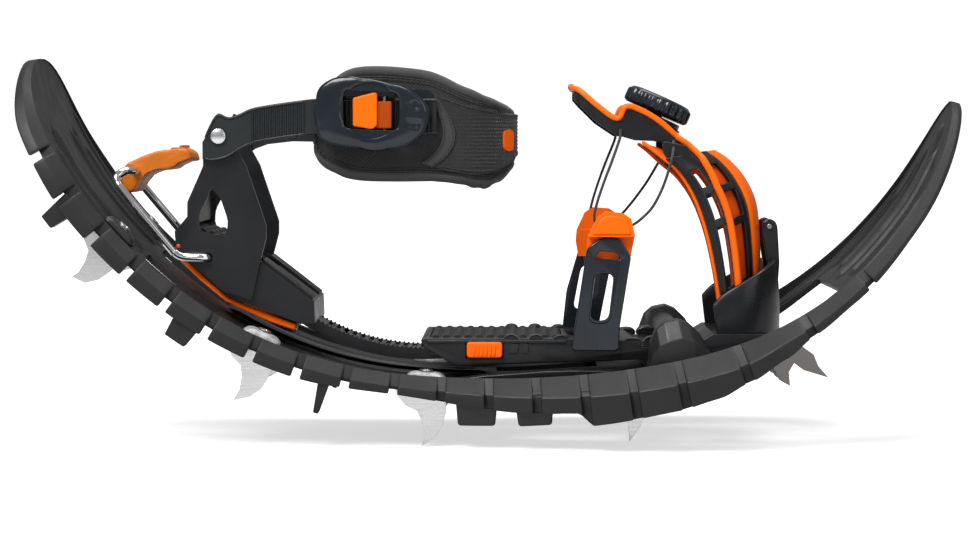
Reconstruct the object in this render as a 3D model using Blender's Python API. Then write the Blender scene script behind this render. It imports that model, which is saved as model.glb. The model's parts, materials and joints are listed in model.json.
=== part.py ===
"""Flexible snowshoe with crampon spikes, a pivoting binding and a lace dial. Metres, +Z up, toe towards +X.

The deck is one flexible moulding, held here in its bent state. Deck features are placed with three numbers:
s, the distance along the deck from the tail; y, across; and n, the height above the rim line, square to it.
"""

import math

import bmesh
import bpy
from mathutils import Matrix, Vector

# ---------------------------------------------------------------- driving dimensions
START = (-0.2587, 0.2176)               # tail end of the rim line, x and z
START_ANGLE = math.radians(-80.6)       # direction of the rim line at the tail
ARCS = (                                # the rim line's arcs, each a length and a radius
    (0.0517, 0.1427),
    (0.1215, 0.2738),
    (0.120, 0.235),
    (0.160, 0.514),
    (0.220, 0.212),
)
DECK_LENGTH = sum(length for length, _ in ARCS)

DECK_PLATE = 0.0035                     # thickness of the deck plate
WALL = 0.005                            # thickness of the rim wall
NOTCH = 0.0048                          # gap between two rim blocks
NOTCH_PITCH = 0.026
FIRST_NOTCH = 0.0555
FRONT_NOTCHES = (0.479, 0.518, 0.558)
REAR_NOTCH_COUNT = 16
CLOSED_NOTCHES = (0.293, 0.540)         # between these the notches cut the shoulder, elsewhere the wall's foot
NOTCH_BITE = 0.004                      # how far a closed notch cuts into the shoulder
FOOT_SPARE = 0.0006                     # how far the wall always reaches below the deck plate
TAIL_ROUND, TIP_ROUND = 0.085, 0.190    # lengths over which the deck's outline rounds off
DECK_LOW, DECK_HIGH = -0.040, 0.020     # reach of the cutters through the deck

GAP = 0.0003                            # gap between pieces that touch
PIVOT_S, PIVOT_N = 0.448, 0.0100        # toe pivot axle
AXLE_RADIUS = 0.004
AXLE_BORE = 0.0044
AXLE_HALF = 0.074
PLATFORM_HALF = 0.048                   # half width of the front platform
OPENING_HALF = 0.056                    # half width of the toe opening in the deck

SLIDE_CENTRE = (-0.038, 0.1725)         # centre of the arc that the heel unit slides along, x and z
SLIDE_RADIUS = 0.125                    # middle of the slider bar

STRAP_PIVOT = (-0.1522, 0.1725)         # both strap rivets, x and z
BAIL_PIVOT = (-0.159, 0.104)
TONGUE_HINGE = (0.1612, 0.1208)         # x and z
DIAL_CENTRE = Vector((0.0950, 0.0, 0.1842))
DIAL_TILT = math.radians(24)
SIDES = (("right", -1), ("left", 1))
BASE_OFFSET = (-0.00387, 0.0, 0.00024)  # brings the box over the origin and the lowest talons to z = 0


# ---------------------------------------------------------------- materials
def material(name, colour, roughness, metallic=0.0):
    made = bpy.data.materials.new(name)
    made.use_nodes = True
    shader = made.node_tree.nodes["Principled BSDF"]
    shader.inputs["Base Color"].default_value = (*colour, 1.0)
    shader.inputs["Roughness"].default_value = roughness
    shader.inputs["Metallic"].default_value = metallic
    return made


for old in list(bpy.data.objects):
    bpy.data.objects.remove(old, do_unlink=True)

DECK_BLACK = material("deck_black", (0.045, 0.045, 0.048), 0.55)
BINDING_BLACK = material("binding_black", (0.030, 0.031, 0.036), 0.40)
GREY_PLASTIC = material("grey_plastic", (0.12, 0.12, 0.125), 0.50)
CLEAR_GREY = material("clear_grey", (0.45, 0.45, 0.45), 0.35)
NAVY_GLOSS = material("navy_gloss", (0.045, 0.055, 0.075), 0.25)
ORANGE = material("orange", (0.95, 0.24, 0.02), 0.40)
AMBER = material("amber_rubber", (0.85, 0.33, 0.02), 0.45)
RUBBER = material("grip_rubber", (0.035, 0.035, 0.035), 0.80)
STEEL = material("steel", (0.75, 0.75, 0.76), 0.25, 1.0)
FABRIC = material("black_fabric", (0.035, 0.033, 0.033), 0.90)
STRAP = material("ladder_strap", (0.040, 0.050, 0.056), 0.45)
CORD = material("lace_cord", (0.02, 0.02, 0.02), 0.50)


# ---------------------------------------------------------------- mesh helpers
def both(side, inner, outer):
    """The y range of a piece on one side, from its inner and outer distance to the middle."""
    return sorted((side * inner, side * outer))


def place(name, mesh, look, origin=(0.0, 0.0, 0.0)):
    """An object for a mesh given in world coordinates, with its own origin."""
    mesh.transform(Matrix.Translation(-Vector(origin)))
    obj = bpy.data.objects.new(name, mesh)
    obj.location = origin
    mesh.materials.append(look)
    bpy.context.scene.collection.objects.link(obj)
    return obj


def mesh_of(name, points, faces):
    mesh = bpy.data.meshes.new(name)
    mesh.from_pydata([tuple(p) for p in points], [], faces)
    shape = bmesh.new()
    shape.from_mesh(mesh)
    bmesh.ops.recalc_face_normals(shape, faces=shape.faces)
    shape.to_mesh(mesh)
    shape.free()
    return mesh


def loft(rings, closed=False):
    """Points and faces of a skin over rings of equal size, capped at both ends unless it closes on itself."""
    size, count = len(rings[0]), len(rings)
    points = [p for ring in rings for p in ring]
    faces = []
    for i in range(count if closed else count - 1):
        here, there = i * size, ((i + 1) % count) * size
        for k in range(size):
            after = (k + 1) % size
            faces.append((here + k, here + after, there + after, there + k))
    if not closed:
        faces.append(tuple(range(size)))
        faces.append(tuple(range((count - 1) * size, count * size)))
    return points, faces


def lofted(name, rings, look, origin=(0.0, 0.0, 0.0), closed=False):
    return place(name, mesh_of(name, *loft(rings, closed)), look, origin)


def plate(name, outline, y0, y1, look, origin=(0.0, 0.0, 0.0)):
    """A flat plate: an outline of x and z, from y0 to y1."""
    rings = [[Vector((x, y, z)) for x, z in outline] for y in (y0, y1)]
    return lofted(name, rings, look, origin)


def tube(name, path, radius, sides, look, origin=(0.0, 0.0, 0.0)):
    """A round rod along a path of points. The ring turns as little as it can from point to point."""
    path = [Vector(p) for p in path]
    rings, across = [], None
    for i, p in enumerate(path):
        ahead = (path[min(i + 1, len(path) - 1)] - path[max(i - 1, 0)]).normalized()
        if across is None:
            across = ahead.orthogonal().normalized()
        across = (across - ahead * across.dot(ahead)).normalized()
        other = ahead.cross(across)
        turns = [2 * math.pi * k / sides for k in range(sides)]
        rings.append([p + radius * (math.cos(t) * across + math.sin(t) * other) for t in turns])
    return lofted(name, rings, look, origin)


def rod(name, x, z, y0, y1, radius, sides, look):
    """A rod across the snowshoe, with its origin on its own axis."""
    ring = round_outline(x, z, radius, sides)
    return plate(name, ring, y0, y1, look, (x, (y0 + y1) / 2, z))


def round_outline(x, z, radius, sides, stretch=1.0):
    turns = [2 * math.pi * (k + 0.5) / sides for k in range(sides)]
    return [(x + radius * math.cos(t), z + radius * stretch * math.sin(t)) for t in turns]


def rounded(corners, radius, steps=3):
    """The outline with each corner cut back by radius and rounded with a quadratic curve."""
    out = []
    count = len(corners)
    for i, corner in enumerate(corners):
        here = Vector(corner)
        before, after = Vector(corners[i - 1]), Vector(corners[(i + 1) % count])
        back, on = before - here, after - here
        reach = min(radius, back.length * 0.45, on.length * 0.45)
        first, last = here + back.normalized() * reach, here + on.normalized() * reach
        for k in range(steps + 1):
            t = k / steps
            out.append(tuple((1 - t) ** 2 * first + 2 * t * (1 - t) * here + t * t * last))
    return out


def boolean(obj, other, operation):
    """Applies a cut or a union to the object's mesh and removes the other object."""
    bpy.context.view_layer.update()
    change = obj.modifiers.new(operation.lower(), "BOOLEAN")
    change.operation = operation
    change.object = other
    graph = bpy.context.evaluated_depsgraph_get()
    mesh = bpy.data.meshes.new_from_object(obj.evaluated_get(graph))
    obj.modifiers.clear()
    obj.data = mesh
    bpy.data.objects.remove(other, do_unlink=True)
    return obj


def cut(obj, *others):
    for other in others:
        boolean(obj, other, "DIFFERENCE")
    return obj


def join(obj, *others):
    for other in others:
        boolean(obj, other, "UNION")
    return obj


def smooth(*objects):
    for obj in objects:
        obj.data.shade_smooth()
        obj.data.set_sharp_from_angle(angle=math.radians(35))


def under(parent_name, location, children):
    """An empty at a joint's axis, with the joint's pieces parented to it in place."""
    empty = bpy.data.objects.new(parent_name, None)
    empty.location = location
    bpy.context.scene.collection.objects.link(empty)
    for child in children:
        child.parent = empty
        child.location = Vector(child.location) - Vector(location)
    return empty


def catmull(points, steps):
    """A smooth curve through the points (Catmull-Rom)."""
    points = [Vector(p) for p in points]
    ends = [2 * points[0] - points[1], *points, 2 * points[-1] - points[-2]]
    out = []
    for a, b, c, d in zip(ends, ends[1:], ends[2:], ends[3:]):
        for k in range(steps):
            t = k / steps
            out.append(0.5 * (2 * b + (c - a) * t + (2 * a - 5 * b + 4 * c - d) * t * t
                              + (3 * b - a - 3 * c + d) * t ** 3))
    return [*out, points[-1]]


# ---------------------------------------------------------------- the bent deck's frame of reference
def rim(s):
    """x, z and direction of the rim line at s."""
    x, z = START
    angle = START_ANGLE
    for length, radius in ARCS:
        run = min(max(s, 0.0), length)
        turned = angle + run / radius
        x += radius * (math.sin(turned) - math.sin(angle))
        z -= radius * (math.cos(turned) - math.cos(angle))
        angle = turned
        s -= run
        if s <= 0:
            break
    return x, z, angle


def bent(s, y, n):
    x, z, angle = rim(s)
    return Vector((x - n * math.sin(angle), y, z + n * math.cos(angle)))


def ramp(s, keys):
    """Smooth steps between (s, value) keys."""
    if s <= keys[0][0]:
        return keys[0][1]
    for (s0, v0), (s1, v1) in zip(keys, keys[1:]):
        if s <= s1:
            t = (s - s0) / (s1 - s0)
            return v0 + (v1 - v0) * t * t * (3 - 2 * t)
    return keys[-1][1]


def half_width(s):
    """Half the deck's width: a blunt tail, a waist under the foot, a broad front and a tapered tip."""
    body = ramp(s, ((0.09, 0.090), (0.15, 0.091), (0.293, 0.080), (0.453, 0.103), (0.493, 0.104)))
    if s < TAIL_ROUND:
        body *= (1 - (1 - s / TAIL_ROUND) ** 2.4) ** (1 / 2.4)
    left = max(DECK_LENGTH - s, 0.0)
    if left < TIP_ROUND:
        body *= (1 - (1 - left / TIP_ROUND) ** 1.9) ** (1 / 1.9)
    return max(body, 0.006)


def wall_height(s):
    """How far the rim wall reaches down from the rim line: deepest beside the toe opening."""
    return ramp(s, ((0.0, 0.006), (0.04, 0.012), (0.09, 0.0145), (0.233, 0.0135), (0.283, 0.011),
                    (0.380, 0.0195), (0.3885, 0.0200), (0.396, 0.0275), (0.440, 0.0258), (0.462, 0.0240),
                    (0.479, 0.0205), (0.500, 0.0162), (0.518, 0.0124), (0.545, 0.0102), (0.600, 0.0071),
                    (0.67, 0.0048)))


def shoulder(s):
    """How far the rim's sloping shoulder drops to its outer edge."""
    return ramp(s, ((0.0, 0.003), (0.05, 0.006), (0.273, 0.0065), (0.423, 0.0115), (0.473, 0.0110),
                    (0.512, 0.0076), (0.560, 0.0060), (0.600, 0.0050), (0.67, 0.0028)))


def recess(s):
    """How far the deck plate lies below the rim line."""
    return ramp(s, ((0.0, 0.001), (0.09, 0.0035), (0.373, 0.0045), (0.453, 0.008), (0.500, 0.0075),
                    (0.545, 0.0045), (0.600, 0.0030), (0.67, 0.001)))


# ---------------------------------------------------------------- frame
TOE_OPENING = (0.430, 0.546)            # s at its ends
SIDE_OPENINGS = (                       # s at both ends, inner and outer distance to the middle
    (0.132, 0.182, 0.020, 0.048),
    (0.345, 0.404, 0.020, 0.050),
)
LUGS = (                                # s at both ends, depth under the rim line, width and taper
    (0.080, 0.092, 0.0260, 0.014, 0.0018),
    (0.166, 0.182, 0.0250, 0.014, 0.0018),
    (0.249, 0.256, 0.0300, 0.014, 0.0018),
    (0.323, 0.347, 0.0265, 0.022, 0.0022),
    (0.355, 0.377, 0.0265, 0.022, 0.0022),
)
LUG_INSET = 0.0018                      # from the deck's outer edge


def notch_centres():
    rear = [FIRST_NOTCH + NOTCH_PITCH * i for i in range(REAR_NOTCH_COUNT)]
    return [*rear, *FRONT_NOTCHES]


def deck_ring(s, notched):
    """The deck's cross-section: a recessed plate between two rim walls with sloping shoulders."""
    w, h, drop, low = half_width(s), wall_height(s), shoulder(s), recess(s)
    slope = min(drop * 1.15, w * 0.4)
    least = low + DECK_PLATE + FOOT_SPARE
    closed = CLOSED_NOTCHES[0] <= s <= CLOSED_NOTCHES[1]
    foot = least if notched and not closed else max(h, least)
    bite = NOTCH_BITE if notched and closed else 0.0
    drop = min(drop, foot - 0.0005)
    wall = min(WALL, w * 0.3)
    inner = w - slope - 0.001
    near = [(inner, -low), (inner, 0.0), (w - bite, -drop), (w, -foot), (w - wall, -foot),
            (w - wall - 0.001, -low - DECK_PLATE)]
    ring = [bent(s, 0.0, -low)]
    ring += [bent(s, -y, n) for y, n in near]
    ring.append(bent(s, 0.0, -low - DECK_PLATE))
    ring += [bent(s, y, n) for y, n in reversed(near)]
    return ring


def deck_stations():
    """Stations along the deck, with a pair just inside and outside each side of each notch."""
    step = 0.0004
    stations = []
    for centre in notch_centres():
        low, high = centre - NOTCH / 2, centre + NOTCH / 2
        stations += [(low - step, False), (low, True), (high, True), (high + step, False)]
    for s in (0.0, 0.002, 0.006, 0.012, 0.020, 0.030, 0.042):
        stations.append((s, False))
    middle = [(a + b) / 2 for a, b in zip(notch_centres(), notch_centres()[1:])]
    stations += [(s, False) for s in middle]
    ends = (0.095, 0.075, 0.058, 0.044, 0.032, 0.022, 0.014, 0.007, 0.0025, 0.0)
    for s in [DECK_LENGTH - left for left in ends]:
        stations.append((s, False))
    return sorted(stations)


def deck_block(name, s0, s1, y0, y1, n0, n1, taper=0.0, steps=2):
    """A block that follows the deck. The taper narrows its n0 end along the deck and across it."""
    rings = []
    for k in range(steps + 1):
        t = k / steps
        ring = []
        for n in (n0, n1):
            inset = taper if n == n0 else 0.0
            s = s0 + inset + (s1 - s0 - 2 * inset) * t
            pair = [bent(s, y0 + inset, n), bent(s, y1 - inset, n)]
            ring += pair if n == n0 else reversed(pair)
        rings.append(ring)
    return lofted(name, rings, DECK_BLACK)


def frame_deck():
    deck = lofted("frame_deck", [deck_ring(s, notched) for s, notched in deck_stations()], DECK_BLACK)
    s0, s1 = TOE_OPENING
    cuts = [deck_block("cutter", s0, s1, -OPENING_HALF, OPENING_HALF, DECK_LOW, DECK_HIGH, 0, 6)]
    for _, side in SIDES:
        for s0, s1, inner, outer in SIDE_OPENINGS:
            cuts.append(deck_block("cutter", s0, s1, *both(side, inner, outer), DECK_LOW, DECK_HIGH, 0, 3))
    cut(deck, *cuts)
    lugs = []
    for _, side in SIDES:
        for s0, s1, depth, wide, taper in LUGS:
            outer = half_width(s0) - LUG_INSET
            reach = both(side, outer - wide, outer)
            lugs.append(deck_block("lug", s0, s1, *reach, -depth, -recess(s0) - 0.001, taper))
    return join(deck, *lugs)


SPIKES = {                              # s of the talon, and the depth of its point under the rim line
    "tail": (0.1128, 0.0375),
    "heel": (0.2117, 0.0400),
    "middle": (0.3062, 0.0400),
    "front": (0.4137, 0.0420),
}
SPIKE_Y = 0.064
SPIKE_PLATE = 0.0025
SPIKE_FOOT = (-0.016, 0.013)            # ends of the folded foot, along the deck
SPIKE_FOOT_WIDE = 0.012


def spike_outline(deep):
    """A swept talon: offsets along the deck, and heights from the rim line."""
    front = [(0.0118, -0.012), (0.0122, -0.020), (0.0108, -0.028), (0.0072, -0.0345)]
    back = [(0.0012, -0.0330), (-0.0005, -0.0260), (-0.0035, -0.0205), (-0.0100, -0.0180)]
    return [*front, (0.0005, -deep), *back, (-0.0150, -0.0125)]


HOUSING_OUTER = 0.0760                  # outer face of a pivot housing
HOUSING_DOME = (0.0145, 0.0105)         # half length and height of its dome
LEAF_REACH = (0.054, 0.066)             # a flex leaf's inner and outer edge
LEAF_ENDS = (0.322, 0.420)              # s at its ends
LEAF_THICK, LEAF_RISE = 0.0022, 0.0030


def under_deck(s):
    """The height at which a piece fits against the deck's underside."""
    return -recess(s) - DECK_PLATE - 0.0008


def spike(name, s, deep, side):
    """A steel talon plate hanging under the deck, with a folded foot against the deck's underside."""
    y0 = side * SPIKE_Y
    rear, front = SPIKE_FOOT
    outline = [(front, under_deck(s + front)), *spike_outline(deep), (rear, under_deck(s + rear))]
    faces = (y0 - SPIKE_PLATE / 2, y0 + SPIKE_PLATE / 2)
    talon = lofted(name, [[bent(s + a, y, n) for a, n in outline] for y in faces], STEEL)
    a, b = both(side, SPIKE_Y - SPIKE_FOOT_WIDE, SPIKE_Y)
    rings = []
    for k in range(4):
        offset = rear + (front - rear) * k / 3
        top = under_deck(s + offset)
        corners = ((a, top - SPIKE_PLATE), (b, top - SPIKE_PLATE), (b, top), (a, top))
        rings.append([bent(s + offset, y, n) for y, n in corners])
    return join(talon, lofted("foot", rings, STEEL))


def spike_socket(name, s, side):
    """The moulded cap on top of the deck that the spike's screw pulls against."""
    y0 = side * (SPIKE_Y - 0.006)
    low = -recess(s) + GAP
    rings = []
    for lift, inset in ((0.0, 0.0), (0.0035, 0.001), (0.0060, 0.0045)):
        half_s, half_y = 0.0115 - inset, 0.0080 - inset
        corners = [(-half_s, -half_y), (half_s, -half_y), (half_s, half_y), (-half_s, half_y)]
        rings.append([bent(s + a, y0 + b, low + lift) for a, b in rounded(corners, 0.004, 2)])
    return lofted(name, rings, CLEAR_GREY)


def pivot_housing(name, side):
    """The bearing block beside the toe opening, domed along the deck, with a bore for the axle."""
    y0, y1 = both(side, OPENING_HALF + 0.001, HOUSING_OUTER)
    x, _, z = bent(PIVOT_S, 0, PIVOT_N)
    half_long, high = HOUSING_DOME
    outline = []
    for k in range(11):
        turn = math.pi * k / 10
        s = PIVOT_S + half_long * math.cos(turn)
        outline.append(bent(s, 0, PIVOT_N - 0.001 + high * math.sin(turn)))
    foot = []
    for offset in (-0.0185, -0.0095, 0.0, 0.0095, 0.0185):
        s = PIVOT_S + offset
        foot.append(bent(s, 0, 0.0004 - recess(s)))
    profile = [(p.x, p.z) for p in (*outline, *foot)]
    block = plate(name, profile, y0, y1, GREY_PLASTIC)
    return cut(block, rod("bore", x, z, -0.1, 0.1, AXLE_BORE - 0.0002, 16, GREY_PLASTIC))


def flex_leaf(name, side):
    """A springy strip on the deck between the lugs and the pivot housing."""
    y0, y1 = both(side, *LEAF_REACH)
    rear, front = LEAF_ENDS
    rings = []
    for k in range(7):
        s = rear + (front - rear) * k / 6
        low = -recess(s) + GAP + (0.0 if k in (0, 6) else 0.0010)
        high = low + LEAF_THICK + LEAF_RISE * math.sin(math.pi * k / 6)
        rings.append([bent(s, y0, low), bent(s, y1, low), bent(s, y1, high), bent(s, y0, high)])
    return lofted(name, rings, BINDING_BLACK)


def build_frame():
    frame_deck()
    for place_name, (s, deep) in SPIKES.items():
        for side_name, side in (("right", -1), ("left", 1)):
            spike(f"spike_{place_name}_{side_name}", s, deep, side)
            if place_name != "front":
                spike_socket(f"spike_cap_{place_name}_{side_name}", s, side)
    x, _, z = bent(PIVOT_S, 0, PIVOT_N)
    for side_name, side in (("right", -1), ("left", 1)):
        pivot_housing(f"pivot_housing_{side_name}", side)
        flex_leaf(f"flex_leaf_{side_name}", side)
    smooth(rod("toe_pivot_axle", x, z, -AXLE_HALF, AXLE_HALF, AXLE_RADIUS, 16, STEEL))


# ---------------------------------------------------------------- binding
def arc_bar(name, angle0, angle1, half_thick, half_wide, look, steps=12):
    """A bar along the heel unit's slide arc."""
    cx, cz = SLIDE_CENTRE
    rings = []
    for k in range(steps + 1):
        turn = math.radians(angle0 + (angle1 - angle0) * k / steps)
        ring = []
        for r, y in ((-1, -1), (1, -1), (1, 1), (-1, 1)):
            radius = SLIDE_RADIUS + r * half_thick
            ring.append(Vector((cx + radius * math.sin(turn), y * half_wide, cz - radius * math.cos(turn))))
        rings.append(ring)
    return lofted(name, rings, look)


BOSS_RADIUS, BOSS_HALF = 0.0072, 0.0545  # the platform's bosses round the toe pivot axle
CHANNEL_HALF_THICK = 0.0038             # the channel that the slider bar runs in
CHANNEL_HALF_WIDE = 0.0176
THROUGH = 0.1                           # half length of a cutter that goes right through a piece
HINGE_BORE = 0.0019
CLAW_HALF = 0.0011                      # half thickness of a claw fang


def front_platform():
    px, _, pz = bent(PIVOT_S, 0, PIVOT_N)
    top = [(-0.0380, 0.0575), (-0.0365, 0.0585), (0.0440, 0.0585), (0.0800, 0.0575), (0.0860, 0.0540),
           (0.1150, 0.0540), (0.1270, 0.0612), (0.1600, 0.0612), (0.1645, 0.0600)]
    bottom = [(0.1650, 0.0560), (0.1190, 0.0480), (0.0900, 0.0470), (0.0400, 0.0455), (-0.0190, 0.0430),
              (-0.0365, 0.0545)]
    body = plate("front_platform", [*top, *bottom], -PLATFORM_HALF, PLATFORM_HALF, BINDING_BLACK)
    join(body, plate("boss", round_outline(px, pz, BOSS_RADIUS, 20), -BOSS_HALF, BOSS_HALF, BINDING_BLACK))
    cut(body, plate("bore", round_outline(px, pz, AXLE_BORE, 16), -THROUGH, THROUGH, STEEL))
    cut(body, arc_bar("channel", -12, 13, CHANNEL_HALF_THICK, CHANNEL_HALF_WIDE, STEEL))
    pad_seat = [(-0.0335, 0.0560), (0.0420, 0.0560), (0.0420, 0.07), (-0.0335, 0.07)]
    cut(body, plate("recess", pad_seat, -0.0360, 0.0360, STEEL))
    for _, side in SIDES:
        pocket = [(-0.0125, 0.0475), (0.0085, 0.0475), (0.0085, 0.0572), (-0.0125, 0.0572)]
        cut(body, plate("pocket", pocket, *both(side, 0.0370, 0.0600), STEEL))
        for x0 in (0.046, 0.064):
            window = [(x0, 0.03), (x0 + 0.013, 0.03), (x0 + 0.013, 0.09), (x0, 0.09)]
            cut(body, plate("window", window, *both(side, 0.004, 0.036), STEEL))
    return body


def ridged_outline(x0, z0, x1, z1, thick, ridges, depth):
    """A pad's side outline on a sloping line, with a saw-toothed top."""
    start, end = Vector((x0, z0)), Vector((x1, z1))
    along = end - start
    up = Vector((-along.y, along.x)).normalized()
    up = up if up.y > 0 else -up
    outline = [start, end]
    for k in range(ridges, 0, -1):
        outline.append(start + along * ((k - 0.02) / ridges) + up * (thick - depth))
        outline.append(start + along * ((k - 0.35) / ridges) + up * thick)
        outline.append(start + along * ((k - 0.65) / ridges) + up * thick)
    outline.append(start + up * (thick - depth))
    return [tuple(p) for p in outline]


def forefoot_pad():
    outline = ridged_outline(-0.0330, 0.0563, 0.0415, 0.0563, 0.0037, 12, 0.0017)
    pad = plate("forefoot_grip_pad", outline, -0.0357, 0.0357, RUBBER)
    groove = [(-0.05, 0.0580), (0.06, 0.0580), (0.06, 0.07), (-0.05, 0.07)]
    for y in (-0.0178, 0.0, 0.0178):
        cut(pad, plate("groove", groove, y - 0.0015, y + 0.0015, RUBBER))
    return pad


def toe_cup():
    path = [(0.1290, -0.0462, 0.0770), (0.1350, -0.0462, 0.0830), (0.1460, -0.0455, 0.0895),
            (0.1555, -0.0410, 0.0950), (0.1620, -0.0310, 0.0990), (0.1655, -0.0170, 0.1020),
            (0.1665, 0.0, 0.1030)]
    path += [(x, -y, z) for x, y, z in reversed(path[:-1])]
    rings = []
    for i, (x, y, top) in enumerate(path):
        before, after = path[max(i - 1, 0)], path[min(i + 1, len(path) - 1)]
        ahead = Vector((after[0] - before[0], after[1] - before[1])).normalized()
        out = Vector((ahead.y, -ahead.x, 0)) * 0.0015
        low, high = Vector((x, y, 0.0616)), Vector((x - 0.0020, y * 0.985, top))
        rings.append([low + out, high + out * 0.7, high - out * 0.7, low - out])
    cup = lofted("toe_cup", rings, BINDING_BLACK)
    hx, hz = TONGUE_HINGE
    horn = [(0.1620, 0.0850), (0.1660, 0.0850), (0.1668, 0.1000), (0.1652, 0.1200), (0.1648, 0.1232),
            (hx, 0.1252), (0.1578, 0.1232), (0.1574, 0.1180), (0.1605, 0.1000)]
    for _, side in SIDES:
        join(cup, plate("horn", horn, *both(side, 0.0112, 0.0162), BINDING_BLACK))
    return cut(cup, plate("bore", round_outline(hx, hz, HINGE_BORE, 12), -0.03, 0.03, STEEL))


def front_claw():
    plate_outline = [(0.1262, 0.0489), (0.1650, 0.0557), (0.1652, 0.0535), (0.1266, 0.0467)]
    claw = plate("front_claw", plate_outline, -0.0385, 0.0385, STEEL)
    fang = [(0.1500, 0.0530), (0.1640, 0.0554), (0.1780, 0.0537), (0.1846, 0.0489), (0.1872, 0.0425),
            (0.1930, 0.0358), (0.1790, 0.0400), (0.1735, 0.0440), (0.1706, 0.0390), (0.1713, 0.0310),
            (0.1650, 0.0345), (0.1618, 0.0421), (0.1560, 0.0470), (0.1500, 0.0480)]
    for y in (-0.0374, -0.0140, 0.0140, 0.0374):
        join(claw, plate("fang", fang, y - CLAW_HALF, y + CLAW_HALF, STEEL))
    return claw


UPRIGHTS = {
    "right": [(0.0470, 0.0520), (0.0737, 0.0520), (0.0740, 0.0650), (0.0804, 0.1051), (0.0790, 0.1072),
              (0.0741, 0.1152), (0.0642, 0.1160), (0.0560, 0.1102), (0.0552, 0.1080), (0.0480, 0.0603)],
    "left": [(0.0430, 0.0520), (0.0650, 0.0520), (0.0660, 0.0620), (0.0715, 0.0900), (0.0745, 0.1050),
             (0.0735, 0.1080), (0.0700, 0.1152), (0.0600, 0.1155), (0.0540, 0.1095), (0.0530, 0.1040),
             (0.0460, 0.0800)],
}
SLOTS = {"right": (0.0572, 0.0677, 0.0030), "left": (0.0500, 0.0590, 0.0050)}  # rear, front and lean
CAP_X = {"right": 0.0692, "left": 0.0650}
UPRIGHT_REACH = (0.0483, 0.0523)        # inner and outer face of a side upright
BUTTON_X, BUTTON_Z = -0.002, 0.05235


def upright(name, side_name, side):
    outline = rounded(UPRIGHTS[side_name], 0.0015, 1)
    piece = plate(name, outline, *both(side, *UPRIGHT_REACH), NAVY_GLOSS)
    x0, x1, lean = SLOTS[side_name]
    slot = rounded([(x0, 0.0690), (x1, 0.0690), (x1 + lean, 0.0955), (x0 + lean, 0.0955)], 0.0042)
    cap = CAP_X[side_name] - 0.0022
    view = [(cap - 0.0077, 0.1040), (cap + 0.0077, 0.1035), (cap + 0.0050, 0.1073), (cap - 0.0043, 0.1082)]
    for name, outline in (("slot", slot), ("view", view)):
        cut(piece, plate(name, outline, -THROUGH, THROUGH, STEEL))
    return piece


def lace_cap(name, side_name, side):
    """The orange hood over an upright: a skirt behind the upright's plate, and a block above it."""
    x = CAP_X[side_name]
    skirt = [(x - 0.0120, 0.1010), (x + 0.0100, 0.1010), (x + 0.0112, 0.1055), (x + 0.0134, 0.1170),
             (x - 0.0130, 0.1170), (x - 0.0136, 0.1100)]
    hood = [(x - 0.0130, 0.1162), (x + 0.0134, 0.1162), (x + 0.0110, 0.1265), (x + 0.0065, 0.1295),
            (x - 0.0035, 0.1302), (x - 0.0081, 0.1270)]
    cap = plate(name, hood, *both(side, 0.0445, 0.0546), ORANGE)
    return join(cap, plate("skirt", skirt, *both(side, 0.0440, 0.0479), ORANGE))


def size_button(name, side):
    outline = rounded([(-0.0120, 0.0479), (0.0080, 0.0479), (0.0080, 0.0568), (-0.0120, 0.0568)], 0.0015, 2)
    return plate(name, outline, *both(side, 0.0412, 0.0518), ORANGE, (BUTTON_X, side * 0.0465, BUTTON_Z))


def button_spring(name, side):
    """A coil behind the button."""
    turns, sides, coil_radius = 3, 8, 0.0028
    path = []
    for k in range(turns * sides + 1):
        turn = 2 * math.pi * k / sides
        y = side * (0.0376 + 0.0031 * k / (turns * sides))
        path.append((BUTTON_X + coil_radius * math.cos(turn), y, BUTTON_Z + coil_radius * math.sin(turn)))
    return tube(name, path, 0.0003, 5, STEEL)


def build_binding():
    """The binding's pieces hang from an empty on the toe pivot axle; the buttons have their own joints."""
    pieces = [front_platform(), forefoot_pad(), toe_cup(), front_claw()]
    for name, side in SIDES:
        pieces += [upright(f"side_upright_{name}", name, side), lace_cap(f"lace_cap_{name}", name, side)]
        pieces.append(button_spring(f"button_spring_{name}", side))
        size_button(f"size_button_{name}", side)
    under("toe_pivot_joint", bent(PIVOT_S, 0, PIVOT_N), pieces)


# ---------------------------------------------------------------- heel unit
TEETH, FIRST_TOOTH, TOOTH_STEP = 13, -26.5, 2.4   # tooth gaps in the slider bar, angles in degrees
BAR_HALF_THICK = 0.00325
HEEL_HALF = 0.0374                      # half width of the heel plate
WING = (0.0378, 0.0410)                 # inner and outer face of the heel cup's wings
RIVET_BORE, BAIL_BORE = 0.0027, 0.0029


def slider_bar():
    bar = arc_bar("slider_bar", -36, 9.5, BAR_HALF_THICK, 0.0170, BINDING_BLACK, 18)
    cx, cz = SLIDE_CENTRE
    for k in range(TEETH):
        turn = math.radians(FIRST_TOOTH + TOOTH_STEP * k)
        radius = SLIDE_RADIUS - BAR_HALF_THICK
        x, z = cx + radius * math.sin(turn), cz - radius * math.cos(turn)
        cut(bar, plate("tooth_gap", round_outline(x, z, 0.0014, 6), -0.0125, 0.0125, BINDING_BLACK))
    return bar


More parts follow.
